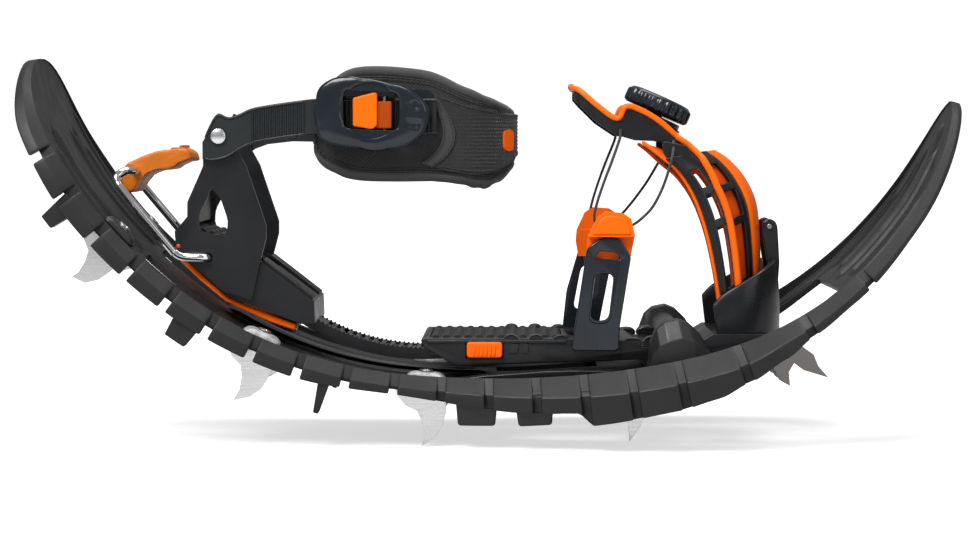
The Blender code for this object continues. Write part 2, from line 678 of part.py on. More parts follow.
def heel_plate():
    top = [(-0.0985, 0.0665), (-0.0990, 0.0790), (-0.1150, 0.0912), (-0.1290, 0.1015), (-0.1500, 0.1125),
           (-0.1728, 0.1180)]
    low = [(-0.1765, 0.1080), (-0.1655, 0.0973), (-0.1485, 0.0820), (-0.1410, 0.0786), (-0.1060, 0.0660)]
    block = plate("heel_plate", [*top, *low], -HEEL_HALF, HEEL_HALF, BINDING_BLACK)
    cut(block, arc_bar("pocket", -36.3, -20, 0.0036, 0.0173, STEEL))
    bx, bz = BAIL_PIVOT
    for _, side in SIDES:
        cut(block, plate("bore", round_outline(bx, bz, BAIL_BORE, 12), *both(side, 0.024, 0.06), STEEL))
        window = [(-0.1420, 0.0700), (-0.1230, 0.0700), (-0.1230, 0.1400), (-0.1420, 0.1400)]
        cut(block, plate("window", window, *both(side, 0.006, 0.030), STEEL))
    return block


def heel_grip_pad():
    outline = ridged_outline(-0.1715, 0.1181, -0.1500, 0.1130, 0.0040, 4, 0.0016)
    return plate("heel_grip_pad", outline, -0.030, 0.030, RUBBER)


def heel_base_pad():
    top = [(-0.1768, 0.1070), (-0.1660, 0.0966), (-0.1489, 0.0812), (-0.1412, 0.0779), (-0.1092, 0.0656)]
    low = [(-0.1105, 0.0620), (-0.1245, 0.0668), (-0.1420, 0.0748), (-0.1500, 0.0790), (-0.1650, 0.0915),
           (-0.1785, 0.1050)]
    return plate("heel_base_pad", [*top, *low], -0.034, 0.034, ORANGE)


def heel_cup():
    front = [(-0.1500, 0.0845), (-0.1340, 0.0800), (-0.1300, 0.0985), (-0.1257, 0.1150), (-0.1257, 0.1223),
             (-0.1369, 0.1556), (-0.1420, 0.1650), (-0.1445, 0.1760), (-0.1490, 0.1790)]
    rear = [(-0.1560, 0.1785), (-0.1590, 0.1720), (-0.1612, 0.1628), (-0.1613, 0.1556), (-0.1703, 0.1354),
            (-0.1704, 0.1271), (-0.1776, 0.1187), (-0.1771, 0.1128), (-0.1753, 0.1080), (-0.1655, 0.0985)]
    wing = [*front, *rear]
    hole = [(-0.1484, 0.1158), (-0.1640, 0.1190), (-0.1638, 0.1283), (-0.1584, 0.1390), (-0.1572, 0.1437),
            (-0.1518, 0.1384), (-0.1472, 0.1247)]
    band = [(-0.1700, 0.1235), (-0.1660, 0.1235), (-0.1650, 0.1390), (-0.1684, 0.1390)]
    cup = plate("heel_cup", band, -0.0395, 0.0395, BINDING_BLACK)
    rx, rz = STRAP_PIVOT
    bx, bz = BAIL_PIVOT
    for _, side in SIDES:
        join(cup, plate("wing", wing, *both(side, *WING), BINDING_BLACK))
        y0, y1 = both(side, 0.030, 0.060)
        cut(cup, plate("hole", rounded(hole, 0.003, 2), y0, y1, STEEL),
            plate("bore", round_outline(rx, rz, RIVET_BORE, 12), y0, y1, STEEL),
            plate("bore", round_outline(bx, bz, BAIL_BORE, 12), y0, y1, STEEL))
    return cup


def turned(name, stations, look, centre, sides=16):
    """A round piece along y: (y, radius) stations around a centre of x and z."""
    x, z = centre
    rings = [[Vector((a, y, b)) for a, b in round_outline(x, z, r, sides)] for y, r in stations]
    piece = lofted(name, rings, look, (x, stations[0][0], z))
    smooth(piece)
    return piece


def strap_rivet(name, side):
    """A head inside the wing, a shank through wing and strap, and a domed head outside."""
    head, shank = (0.0042, 0.0046), 0.0024
    stations = [(0.0362, 0.0036), (0.0366, head[0]), (0.0374, head[0]), (0.0374, shank), (0.0448, shank),
                (0.0448, head[1]), (0.0458, 0.0044), (0.0464, 0.0030)]
    return turned(name, [(side * y, r) for y, r in stations], STEEL, STRAP_PIVOT)


def heel_bail():
    """The wire bail: in through both bores, back along each side, up and forward to the crossbar."""
    half = [(-0.1590, -0.0265, 0.1040), (-0.1590, -0.0420, 0.1040), (-0.1600, -0.0437, 0.1040),
            (-0.1640, -0.0445, 0.1040), (-0.1740, -0.0445, 0.1045), (-0.1775, -0.0445, 0.1072),
            (-0.2085, -0.0430, 0.1445), (-0.2105, -0.0420, 0.1480), (-0.2085, -0.0400, 0.1515),
            (-0.2045, -0.0360, 0.1530), (-0.2020, -0.0310, 0.1530)]
    path = half + [(x, -y, z) for x, y, z in reversed(half)]
    bx, bz = BAIL_PIVOT
    bail = tube("heel_bail", path, 0.0025, 10, STEEL, (bx, 0, bz))
    smooth(bail)
    return bail


def bail_tab():
    """The soft tab folded round the bail's crossbar."""
    top = [(-0.1705, 0.1590), (-0.1730, 0.1650), (-0.1780, 0.1665), (-0.1900, 0.1635), (-0.2020, 0.1600),
           (-0.2085, 0.1560), (-0.2110, 0.1480)]
    low = [(-0.2090, 0.1430), (-0.2040, 0.1410), (-0.2000, 0.1470), (-0.1900, 0.1525), (-0.1800, 0.1545),
           (-0.1770, 0.1585)]
    bx, bz = BAIL_PIVOT
    tab = plate("bail_tab", [*top, *low], -0.0225, 0.0225, AMBER, (bx, 0, bz))
    return cut(tab, plate("bore", round_outline(-0.2020, 0.1530, 0.0028, 10), -THROUGH, THROUGH, STEEL))


# ---------------------------------------------------------------- ankle strap
PIN_Y = -0.0545                         # both buckle pins
LEVER_PIN_X, RELEASE_PIN_X = -0.0895, -0.0580
BUCKLE_MIDDLE = 0.184                   # height of the middle of both levers
PIN_ENDS = (0.1690, 0.1990)
PIN_BORE = 0.0017
STRAP_THICK, RIB_THICK = 0.0011, 0.0019  # half the strap's thickness, and the ribs' reach
STRAP_HALF = 0.0100                     # half width of the ribbed part
RIBS, RIBS_FROM, RIBS_TO = 21, -0.1335, -0.0460
PAD_HALF_THICK = 0.0040


def strap_ring(x, y, zc, half, thick):
    return [Vector((x, y + thick, zc - half)), Vector((x, y - thick, zc - half)),
            Vector((x, y - thick, zc + half)), Vector((x, y + thick, zc + half))]


def ladder_strap():
    """The ribbed strap: plain from the rivet forwards, then ribs where the ratchet takes hold."""
    plain = [(-0.1612, 0.0428, 0.1640, 0.0040), (-0.1585, 0.0428, 0.1668, 0.0085),
             (-0.1529, 0.0428, 0.1725, 0.0138), (-0.1465, 0.0428, 0.1718, 0.0112),
             (-0.1400, 0.0430, 0.1752, 0.0100), (-0.1350, 0.0433, 0.1775, 0.0103)]
    rings = [strap_ring(x, -y, z, half, STRAP_THICK) for x, y, z, half in plain]
    pitch = (RIBS_TO - RIBS_FROM) / RIBS
    for k in range(RIBS):
        for part, thick in ((0.0, STRAP_THICK), (0.5, STRAP_THICK), (0.55, RIB_THICK), (0.95, RIB_THICK)):
            x = RIBS_FROM + pitch * (k + part)
            y = 0.0435 + 0.0062 * min(1.0, max(0.0, (x - RIBS_FROM) / 0.0330))
            zc = 0.1782 + 0.0054 * min(1.0, (x - RIBS_FROM) / 0.0360) ** 0.8
            ring = strap_ring(x, -y, zc, STRAP_HALF, STRAP_THICK)
            outer = Vector((0, STRAP_THICK - thick, 0))
            ring[1] += outer
            ring[2] += outer
            rings.append(ring)
    rings.append(strap_ring(RIBS_TO, -0.0497, 0.1840, STRAP_HALF, STRAP_THICK))
    rx, rz = STRAP_PIVOT
    strap = lofted("ladder_strap", rings, STRAP, (rx, 0, rz))
    return cut(strap, plate("bore", round_outline(rx, rz, RIVET_BORE, 12), -0.06, -0.03, STEEL))


def far_strap():
    stations = [(-0.1612, 0.0430, 0.1640, 0.0040), (-0.1585, 0.0430, 0.1668, 0.0085),
                (-0.1529, 0.0430, 0.1725, 0.0138), (-0.1465, 0.0430, 0.1718, 0.0112),
                (-0.1400, 0.0430, 0.1752, 0.0100), (-0.1327, 0.0433, 0.1782, 0.0103),
                (-0.1180, 0.0445, 0.1800, 0.0104), (-0.0980, 0.0470, 0.1805, 0.0112),
                (-0.0600, 0.0472, 0.1800, 0.0120)]
    rings = [strap_ring(x, y, z, half, 0.0012) for x, y, z, half in stations]
    rx, rz = STRAP_PIVOT
    strap = lofted("far_strap", rings, STRAP, (rx, 0, rz))
    return cut(strap, plate("bore", round_outline(rx, rz, RIVET_BORE, 12), 0.03, 0.06, STEEL))


PAD_PATH = ((-0.0985, 0.0405, 0.1640, 0.1770), (-0.0950, 0.0405, 0.1580, 0.1900),
            (-0.0880, 0.0405, 0.1530, 0.2030), (-0.0720, 0.0405, 0.1480, 0.2110),
            (-0.0360, 0.0405, 0.1475, 0.2090), (-0.0150, 0.0392, 0.1455, 0.2005),
            (-0.0010, 0.0320, 0.1435, 0.1945), (0.0080, 0.0180, 0.1425, 0.1900),
            (0.0108, 0.0, 0.1420, 0.1880))


def ankle_pad():
    """A padded band round the front of the ankle."""
    path = [(x, -y, low, high) for x, y, low, high in PAD_PATH]
    path += [(x, -y, low, high) for x, y, low, high in reversed(path[:-1])]
    rings = []
    for i, (x, y, low, high) in enumerate(path):
        before, after = path[max(i - 1, 0)], path[min(i + 1, len(path) - 1)]
        ahead = Vector((after[0] - before[0], after[1] - before[1])).normalized()
        out = Vector((ahead.y, -ahead.x, 0)) * PAD_HALF_THICK
        spot = Vector((x, y, 0))
        profile = ((0.25, low), (1.0, low + 0.004), (1.0, high - 0.004), (0.25, high),
                   (-0.25, high), (-1.0, high - 0.004), (-1.0, low + 0.004), (-0.25, low))
        rings.append([spot + out * reach + Vector((0, 0, z)) for reach, z in profile])
    rx, rz = STRAP_PIVOT
    pad = lofted("ankle_pad", rings, FABRIC, (rx, 0, rz))
    smooth(pad)
    return pad


def upright_pin(name, x, y, z0, z1, radius, look, sides=12):
    turns = [2 * math.pi * k / sides for k in range(sides)]
    ring = [(x + radius * math.cos(t), y + radius * math.sin(t)) for t in turns]
    rings = [[Vector((a, b, z)) for a, b in ring] for z in (z0, z1)]
    pin = lofted(name, rings, look, (x, y, (z0 + z1) / 2))
    smooth(pin)
    return pin


def buckle_base():
    outline = rounded([(-0.0930, 0.1690), (-0.0300, 0.1690), (-0.0300, 0.1990), (-0.0930, 0.1990)], 0.006)
    base = plate("buckle_base", outline, -0.0483, -0.0450, NAVY_GLOSS)
    for z0, z1 in ((0.1700, 0.1731), (0.1949, 0.1980)):
        cheek = [(-0.0909, z0), (-0.0520, z0), (-0.0520, z1), (-0.0909, z1)]
        join(base, plate("cheek", cheek, -0.0565, -0.0470, NAVY_GLOSS))
    for x in (LEVER_PIN_X, RELEASE_PIN_X):
        cut(base, upright_pin("bore", x, PIN_Y, 0.15, 0.22, PIN_BORE, STEEL))
    return base


def ratchet_lever():
    outline = rounded([(-0.0958, 0.1700), (-0.0800, 0.1665), (-0.0475, 0.1655), (-0.0345, 0.1745),
                       (-0.0322, 0.1885), (-0.0390, 0.1965), (-0.0620, 0.2042), (-0.0850, 0.2062),
                       (-0.0958, 0.1990)], 0.009)
    lever = plate("ratchet_lever", outline, -0.0602, -0.0572, NAVY_GLOSS, (LEVER_PIN_X, PIN_Y, BUCKLE_MIDDLE))
    window = rounded([(-0.0808, 0.1768), (-0.0500, 0.1755), (-0.0482, 0.1860), (-0.0500, 0.1970),
                      (-0.0808, 0.1985)], 0.004)
    cut(lever, plate("window", window, -0.07, -0.05, STEEL))
    join(lever, upright_pin("knuckle", LEVER_PIN_X, PIN_Y - 0.0006, 0.1735, 0.1945, 0.0030, NAVY_GLOSS))
    cut(lever, upright_pin("bore", LEVER_PIN_X, PIN_Y, 0.15, 0.22, PIN_BORE, STEEL))
    for z in (0.1790, 0.1875):
        cut(lever, plate("dimple", round_outline(-0.0410, z, 0.0022, 12), -0.07, -0.0594, STEEL))
    return lever


def release_lever():
    outline = rounded([(-0.0752, 0.1778), (-0.0537, 0.1778), (-0.0537, 0.1930), (-0.0752, 0.1942)], 0.002)
    lever = plate("release_lever", outline, -0.0598, -0.0562, ORANGE, (RELEASE_PIN_X, PIN_Y, BUCKLE_MIDDLE))
    join(lever, upright_pin("knuckle", RELEASE_PIN_X, PIN_Y - 0.0006, 0.1780, 0.1910, 0.0028, ORANGE))
    return cut(lever, upright_pin("bore", RELEASE_PIN_X, PIN_Y, 0.15, 0.22, 0.0015, STEEL))


def build_heel():
    """The heel unit's pieces hang from an empty on the axis of its slide arc; the bail has its own joint."""
    pieces = [slider_bar(), heel_plate(), heel_grip_pad(), heel_base_pad(), heel_cup()]
    pieces += [strap_rivet(f"strap_rivet_{name}", side) for name, side in SIDES]
    cx, cz = SLIDE_CENTRE
    under("heel_size_joint", (cx, 0.0, cz), pieces)
    heel_bail()
    bail_tab()


def build_ankle():
    ladder_strap()
    far_strap()
    ankle_pad()
    buckle_base()
    ratchet_lever()
    release_lever()
    upright_pin("ratchet_pin", LEVER_PIN_X, PIN_Y, *PIN_ENDS, 0.0013, STEEL)
    upright_pin("release_pin", RELEASE_PIN_X, PIN_Y, *PIN_ENDS, 0.0012, STEEL)


# ---------------------------------------------------------------- instep tongue and lace dial
TONGUE_STATIONS = (                     # right edge, crest and left edge, each x and z
    ((0.1325, 0.0760), (0.1560, 0.0890), (0.1345, 0.0730)),
    ((0.1283, 0.1010), (0.1552, 0.1130), (0.1305, 0.0975)),
    ((0.1232, 0.1225), (0.1530, 0.1330), (0.1255, 0.1195)),
    ((0.1165, 0.1400), (0.1465, 0.1475), (0.1185, 0.1370)),
    ((0.1080, 0.1530), (0.1375, 0.1580), (0.1100, 0.1500)),
    ((0.1000, 0.1600), (0.1290, 0.1640), (0.1025, 0.1570)),
)
LINER_STATIONS = (
    *TONGUE_STATIONS[:5],
    ((0.1000, 0.1600), (0.1280, 0.1612), (0.1015, 0.1575)),
    ((0.0935, 0.1650), (0.1120, 0.1620), (0.0945, 0.1640)),
    ((0.0880, 0.1690), (0.1000, 0.1650), (0.0890, 0.1680)),
)
TONGUE_HALF = 0.040
PLATE_RISE, PLATE_THICK = 0.0016, 0.0028
LACE_OUTER = 0.0567                     # the lace's distance to the middle in front of the caps


def tongue_point(stations, u, t, inset):
    """A point on the tongue: u along its stations, t from -1 (right edge) to 1 (left), inset inwards."""
    i = min(int(u), len(stations) - 2)
    f = u - i
    blend = [[a + (b - a) * f for a, b in zip(p, q)] for p, q in zip(stations[i], stations[i + 1])]
    right, crest, left = [Vector(p) for p in blend]
    edge = right.lerp(left, (math.sin(math.pi * t / 2) + 1) / 2)
    depth = crest - (right + left) / 2
    reach = (depth.length - inset) / depth.length
    spot = edge + depth * reach * math.cos(math.pi * t / 2)
    return Vector((spot.x, (TONGUE_HALF - inset) * math.sin(math.pi * t / 2), spot.y))


def tongue_shell(name, stations, u0, u1, inset, thick, look, around=12, steps=10):
    rings = []
    for k in range(steps + 1):
        u = u0 + (u1 - u0) * k / steps
        ts = [-1 + 2 * j / around for j in range(around + 1)]
        outer = [tongue_point(stations, u, t, inset) for t in ts]
        inner = [tongue_point(stations, u, t, inset + thick) for t in reversed(ts)]
        rings.append([*outer, *inner])
    hx, hz = TONGUE_HINGE
    return lofted(name, rings, look, (hx, 0, hz))


def tongue_window(u0, u1, t0, t1):
    rings = []
    for u in (u0, (u0 + u1) / 2, u1):
        ring = [tongue_point(TONGUE_STATIONS, u, t, -0.006) for t in (t0, (t0 + t1) / 2, t1)]
        ring += [tongue_point(TONGUE_STATIONS, u, t, 0.006) for t in (t1, (t0 + t1) / 2, t0)]
        rings.append(ring)
    return lofted("window", rings, STEEL)


PLATE_LINE = (                          # x, z, half width and depth of the skirt
    (0.0485, 0.1995, 0.0190, 0.0060),
    (0.0520, 0.1982, 0.0255, 0.0085),
    (0.0620, 0.1895, 0.0295, 0.0095),
    (0.0730, 0.1822, 0.0310, 0.0095),
    (0.0780, 0.1890, 0.0312, 0.0165),
    (0.0860, 0.1872, 0.0312, 0.0170),
    (0.0970, 0.1808, 0.0312, 0.0110),
    (0.1090, 0.1704, 0.0295, 0.0040),
    (0.1170, 0.1652, 0.0230, 0.0030),
)


def dial_plate_body(name, grow=0.0):
    """The saddle under the dial: a bowed top with a skirt down each side."""
    rings = []
    for k, (x, z, half, drop) in enumerate(PLATE_LINE):
        end = -grow if k == 0 else grow if k == len(PLATE_LINE) - 1 else 0.0
        wide = half + grow
        across = [wide * (-1 + j / 4) for j in range(9)]
        bow = [PLATE_RISE * (1 - (y / wide) ** 2) for y in across]
        ring = [Vector((x + end, y, z + grow + b)) for y, b in zip(across, bow)]
        low = z - drop - grow
        ring += [Vector((x + end, wide, low)), Vector((x + end, wide - 0.0025, low))]
        inner = (wide - 0.0025) / wide
        floor = -PLATE_THICK - 2 * grow
        ring += [Vector((x + end, y * inner, z + b + floor)) for y, b in zip(reversed(across), reversed(bow))]
        ring += [Vector((x + end, 0.0025 - wide, low)), Vector((x + end, -wide, low))]
        rings.append(ring)
    hx, hz = TONGUE_HINGE
    return lofted(name, rings, BINDING_BLACK, (hx, 0, hz))


def tongue():
    hx, hz = TONGUE_HINGE
    shell = tongue_shell("tongue_shell", TONGUE_STATIONS, 0, 5, 0.0, 0.0024, BINDING_BLACK)
    for u in (0.55, 1.75, 2.85, 3.75):
        for t0, t1 in ((-0.86, -0.34), (0.34, 0.86)):
            cut(shell, tongue_window(u, u + 0.62, t0, t1))
    knuckle = [(0.1535, 0.1130), (0.1600, 0.1162), (0.1640, 0.1178), (0.1653, 0.1208),
               (0.1640, 0.1238), (0.1600, 0.1252), (0.1540, 0.1290), (0.1518, 0.1290)]
    join(shell, plate("knuckle", knuckle, -0.0105, 0.0105, BINDING_BLACK))
    cut(shell, plate("bore", round_outline(hx, hz, HINGE_BORE, 12), -0.03, 0.03, STEEL))
    return cut(shell, dial_plate_body("envelope", 0.0004))


def tongue_rail(name, side):
    """The soft edging along one edge of the tongue."""
    path = []
    for k in range(15):
        u = 7 * k / 14
        edge = tongue_point(LINER_STATIONS, u, side, 0.0)
        middle = tongue_point(LINER_STATIONS, u, 0, 0.0)
        away = Vector((edge.x - middle.x, 0, edge.z - middle.z)).normalized()
        path.append(edge + away * 0.0027)
    hx, hz = TONGUE_HINGE
    edging = tube(name, path, 0.0016, 8, ORANGE, (hx, 0, hz))
    smooth(edging)
    return edging


def dial_frame(x, y, z):
    """Dial coordinates: x towards the toe along the tilted face, z along the dial's axis."""
    c, s = math.cos(DIAL_TILT), math.sin(DIAL_TILT)
    return DIAL_CENTRE + Vector((x * c + z * s, y, z * c - x * s))


def dial_round(name, stations, look, sides, lobes=0.0):
    rings = []
    for z, radius in stations:
        ring = []
        for k in range(sides):
            t = 2 * math.pi * k / sides
            r = radius - (lobes if k % 2 else 0.0)
            ring.append(dial_frame(r * math.cos(t), r * math.sin(t), z))
        rings.append(ring)
    return lofted(name, rings, look, tuple(DIAL_CENTRE))


def lace(name, side, x):
    """One loop of cord: from the dial's plate down to the cap, through it and back up."""
    outer = side * LACE_OUTER
    down = [(0.0735, side * 0.0350, 0.1720), (0.0690, side * 0.0400, 0.1600)]
    through = [(x - 0.0105, side * 0.0540, 0.1340), (x - 0.0112, outer, 0.1250), (x - 0.0080, outer, 0.1200),
               (x, outer, 0.1185), (x + 0.0080, outer, 0.1200), (x + 0.0112, outer, 0.1250),
               (x + 0.0135, side * 0.0540, 0.1340)]
    back = [(0.0930, side * 0.0445, 0.1470), (0.0958, side * 0.0428, 0.1575)]
    cord = tube(name, catmull([*down, *through, *back], 3), 0.0006, 6, CORD)
    smooth(cord)
    return cord


def build_tongue():
    hx, hz = TONGUE_HINGE
    tongue()
    tongue_shell("tongue_liner", LINER_STATIONS, 0.25, 6.8, 0.0030, 0.0012, ORANGE, 10, 14)
    saddle = dial_plate_body("dial_plate")
    join(saddle, dial_round("pedestal", ((-0.0075, 0.0165), (-0.0020, 0.0180)), BINDING_BLACK, 24))
    cut(saddle, dial_round("seat", ((-0.0025, 0.0172), (0.0300, 0.0210)), BINDING_BLACK, 24))
    for name, side in SIDES:
        tongue_rail(f"tongue_rail_{name}", side)
        lace(f"lace_{name}", side, CAP_X[name])
    rod("tongue_hinge_pin", hx, hz, -0.0175, 0.0175, 0.0016, 12, STEEL)
    hub = ((-0.0022, 0.0165), (0.0010, 0.0165), (0.0010, 0.0050), (0.0068, 0.0050))
    dial_round("dial_hub", hub, GREY_PLASTIC, 24)
    knob = ((0.0022, 0.0185), (0.0034, 0.0198), (0.0100, 0.0198), (0.0118, 0.0180), (0.0124, 0.0120))
    dial = dial_round("lace_dial", knob, NAVY_GLOSS, 36, 0.0008)
    cut(dial, dial_round("socket", ((-0.01, 0.0053), (0.0072, 0.0053)), NAVY_GLOSS, 24))


def move_all(offset):
    for obj in bpy.context.scene.objects:
        if obj.parent is None:
            obj.location = Vector(obj.location) + Vector(offset)


build_frame()
build_binding()
build_heel()
build_ankle()
build_tongue()
move_all(BASE_OFFSET)
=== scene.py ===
"""Looks of the flexible snowshoe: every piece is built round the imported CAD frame, in metres, toe towards +X."""

import json
import math

import bmesh
import bpy
import numpy as np
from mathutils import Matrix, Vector, noise

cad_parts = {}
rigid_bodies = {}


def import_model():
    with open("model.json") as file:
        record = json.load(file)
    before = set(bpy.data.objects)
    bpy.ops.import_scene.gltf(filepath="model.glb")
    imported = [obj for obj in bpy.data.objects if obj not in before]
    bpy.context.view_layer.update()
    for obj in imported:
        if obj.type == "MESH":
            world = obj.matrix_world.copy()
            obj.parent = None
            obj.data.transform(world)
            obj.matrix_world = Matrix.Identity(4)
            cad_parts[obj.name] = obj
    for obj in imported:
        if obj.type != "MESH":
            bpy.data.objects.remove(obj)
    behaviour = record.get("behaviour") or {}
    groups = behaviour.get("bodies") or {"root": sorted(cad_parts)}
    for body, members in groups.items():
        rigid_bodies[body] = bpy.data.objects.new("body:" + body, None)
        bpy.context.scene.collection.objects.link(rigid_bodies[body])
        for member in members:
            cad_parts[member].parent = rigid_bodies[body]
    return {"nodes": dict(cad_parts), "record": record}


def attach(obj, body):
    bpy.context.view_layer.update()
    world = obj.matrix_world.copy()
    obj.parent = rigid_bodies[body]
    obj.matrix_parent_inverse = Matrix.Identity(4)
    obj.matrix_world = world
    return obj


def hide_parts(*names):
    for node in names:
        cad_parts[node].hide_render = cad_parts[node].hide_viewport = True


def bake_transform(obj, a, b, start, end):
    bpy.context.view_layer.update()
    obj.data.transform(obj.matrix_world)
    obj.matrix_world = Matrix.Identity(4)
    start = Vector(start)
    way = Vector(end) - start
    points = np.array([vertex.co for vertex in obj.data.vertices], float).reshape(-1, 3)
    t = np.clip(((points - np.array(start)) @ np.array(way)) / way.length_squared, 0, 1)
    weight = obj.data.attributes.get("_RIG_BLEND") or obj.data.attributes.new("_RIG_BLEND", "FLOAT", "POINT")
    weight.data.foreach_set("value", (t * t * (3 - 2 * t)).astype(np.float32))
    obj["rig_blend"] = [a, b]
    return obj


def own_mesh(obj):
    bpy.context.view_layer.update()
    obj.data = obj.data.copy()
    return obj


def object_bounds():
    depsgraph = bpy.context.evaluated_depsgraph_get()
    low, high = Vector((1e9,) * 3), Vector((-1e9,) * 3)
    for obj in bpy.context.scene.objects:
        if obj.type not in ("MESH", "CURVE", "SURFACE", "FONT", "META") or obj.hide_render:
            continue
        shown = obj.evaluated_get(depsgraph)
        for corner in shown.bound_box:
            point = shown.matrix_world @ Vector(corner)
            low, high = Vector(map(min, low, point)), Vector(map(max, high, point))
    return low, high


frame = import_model()
CAD_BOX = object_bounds()
NODES = frame["nodes"]
BODY_OF = {n: b for b, names in frame["record"]["behaviour"]["bodies"].items() for n in names}
SHIFT = Vector((-0.00387, 0.0, 0.00024))      # from the drawing's zero to the CAD frame's
SIDES = (("right", -1), ("left", 1))


def mm(value):
    """Millimetres in metres: one number, or a tuple of numbers or tuples."""
    if isinstance(value, tuple):
        return tuple(mm(v) for v in value)
    return round(value / 1000, 7)


# ================================================================ node materials
class Look:
    """A Principled material with helpers for adding texture nodes."""

    def __init__(self, name):
        self.material = bpy.data.materials.new(name)
        self.material.use_nodes = True
        self.nodes = self.material.node_tree.nodes
        self.links = self.material.node_tree.links
        self.shader = self.nodes["Principled BSDF"]
        self.coords = self.nodes.new("ShaderNodeTexCoord").outputs["Object"]

    def put(self, value, socket):
        if isinstance(value, bpy.types.NodeSocket):
            self.links.new(value, socket)
        else:
            socket.default_value = value

    def add(self, kind, settings=None, **inputs):
        node = self.nodes.new("ShaderNode" + kind)
        for key, value in (settings or {}).items():
            setattr(node, key, value)
        for key, value in inputs.items():
            self.put(value, node.inputs[int(key[1:]) if key[0] == "i" and key[1:].isdigit() else key])
        return node

    def noise(self, scale, detail=2.0, rough=0.5, vector=None):
        node = self.add("TexNoise", Scale=scale, Detail=detail, Roughness=rough, Vector=vector or self.coords)
        return node.outputs["Fac"]

    def math(self, operation, a, b=0.0):
        node = self.add("Math", {"operation": operation}, i0=a, i1=b)
        return node.outputs[0]

    def span(self, value, low, high, to_low=0.0, to_high=1.0):
        node = self.add("MapRange", None, i0=value, i1=low, i2=high, i3=to_low, i4=to_high)
        return node.outputs[0]

    def mix(self, factor, a, b):
        node = self.add("Mix", {"data_type": "RGBA"}, Factor=factor)
        self.put(a, node.inputs[6])
        self.put(b, node.inputs[7])
        return node.outputs[2]

    def stretch(self, x, y, z, turn=(0, 0, 0)):
        node = self.add("Mapping", None, Vector=self.coords, Rotation=turn, Scale=(x, y, z))
        return node.outputs[0]

    def bump(self, height, strength, distance, normal=None):
        node = self.add("Bump", None, Strength=strength, Distance=distance, Height=height)
        if normal is not None:
            self.links.new(normal, node.inputs["Normal"])
        return node.outputs[0]

    def edge(self, radius):
        """0 on flat areas, 1 on worn edges."""
        rounded = self.add("Bevel", {"samples": 4}, Radius=radius).outputs[0]
        true = self.nodes.new("ShaderNodeNewGeometry").outputs["Normal"]
        dot = self.add("VectorMath", {"operation": "DOT_PRODUCT"}, i0=rounded, i1=true).outputs["Value"]
        return self.span(self.math("SUBTRACT", 1.0, dot), 0.02, 0.3)

    def finish(self, colour, rough, normal, metallic=0.0, coat=0.0, **more):
        for key, value in (("Base Color", colour), ("Roughness", rough), ("Normal", normal), ("Metallic", metallic),
                           ("Coat Weight", coat)):
            self.put(value, self.shader.inputs[key])
        for key, value in more.items():
            self.put(value, self.shader.inputs[key.replace("_", " ")])
        return self.material


def rgb(colour, scale=1.0):
    return (*[min(1.0, c * scale) for c in colour], 1.0)


def plastic(name, colour, rough, grain, grain_scale=1500.0, mottle=0.22, wear=0.35, coat=0.0, spread=0.1,
            shine=0.36, painted_shade=0.0):
    """Moulded plastic: fine spark-eroded grain, faint flow marks, edges rubbed lighter, and, where asked, painted shade
    that darkens its hollows.
    """
    look = Look(name)
    cloud = look.noise(28.0, 5.0, 0.6)
    fine = look.noise(grain_scale, 2.0)
    rub = look.math("MULTIPLY", look.edge(0.0007), look.span(look.noise(210.0, 4.0), 0.38, 0.62))
    base = look.mix(look.span(cloud, 0.3, 0.7), rgb(colour, 1 - mottle), rgb(colour, 1 + mottle))
    if painted_shade:
        # Painted shade: ambient occlusion darkens the colour towards near black in grooves, notches and tight corners.
        openness_for_painted_shade = look.add("AmbientOcclusion", {"samples": 4}, Distance=0.007).outputs["AO"]
        base = look.mix(look.span(openness_for_painted_shade, 0.25, 0.75, painted_shade, 0.0), base, rgb([c * 0.15 for c in colour]))
    worn = look.mix(look.math("MULTIPLY", rub, wear), base, rgb([c * 1.8 + 0.014 for c in colour]))
    roughness = look.span(look.math("ADD", look.noise(70.0, 4.0), look.math("MULTIPLY", rub, 0.3)),
                          0.3, 0.9, rough - spread, rough + spread)
    normal = look.bump(fine, grain, 0.00025, look.bump(cloud, 0.1, 0.0012))
    return look.finish(worn, roughness, normal, coat=coat, Specular_IOR_Level=shine)


def rubber(name, colour, rough):
    """Soft rubber: pebbled by a cell texture, dusty in the hollows."""
    look = Look(name)
    cells = look.add("TexVoronoi", {"feature": "SMOOTH_F1"}, Vector=look.coords, Scale=900.0).outputs["Distance"]
    dust = look.span(look.noise(90.0, 5.0, 0.7), 0.45, 0.75)
    base = look.mix(look.math("MULTIPLY", dust, 0.35), rgb(colour), rgb([c * 1.6 + 0.01 for c in colour]))
    normal = look.bump(cells, 0.45, 0.0003, look.bump(look.noise(60.0, 3.0), 0.15, 0.001))
    return look.finish(base, look.span(dust, 0, 1, rough - 0.08, rough + 0.1), normal)


def steel(name, colour, rough):
    """Stamped steel: brushed one way, with fine scratches and duller stains."""
    look = Look(name)
    brushed = look.noise(1.0, 4.0, 0.6, look.stretch(40.0, 40.0, 1500.0))
    scratch = look.span(look.noise(1.0, 6.0, 0.75, look.stretch(900.0, 900.0, 60.0, (0.4, 0.3, 0.9))), 0.62, 0.7)
    stain = look.span(look.noise(45.0, 5.0, 0.6), 0.4, 0.7)
    base = look.mix(look.math("MULTIPLY", stain, 0.12), rgb(colour), rgb(colour, 0.55))
    roughness = look.math("ADD", look.span(brushed, 0.3, 0.7, rough - 0.05, rough + 0.08),
                          look.math("MULTIPLY", scratch, 0.12))
    normal = look.bump(brushed, 0.12, 0.0002, look.bump(scratch, 0.1, 0.0001))
    return look.finish(base, roughness, normal, metallic=1.0)


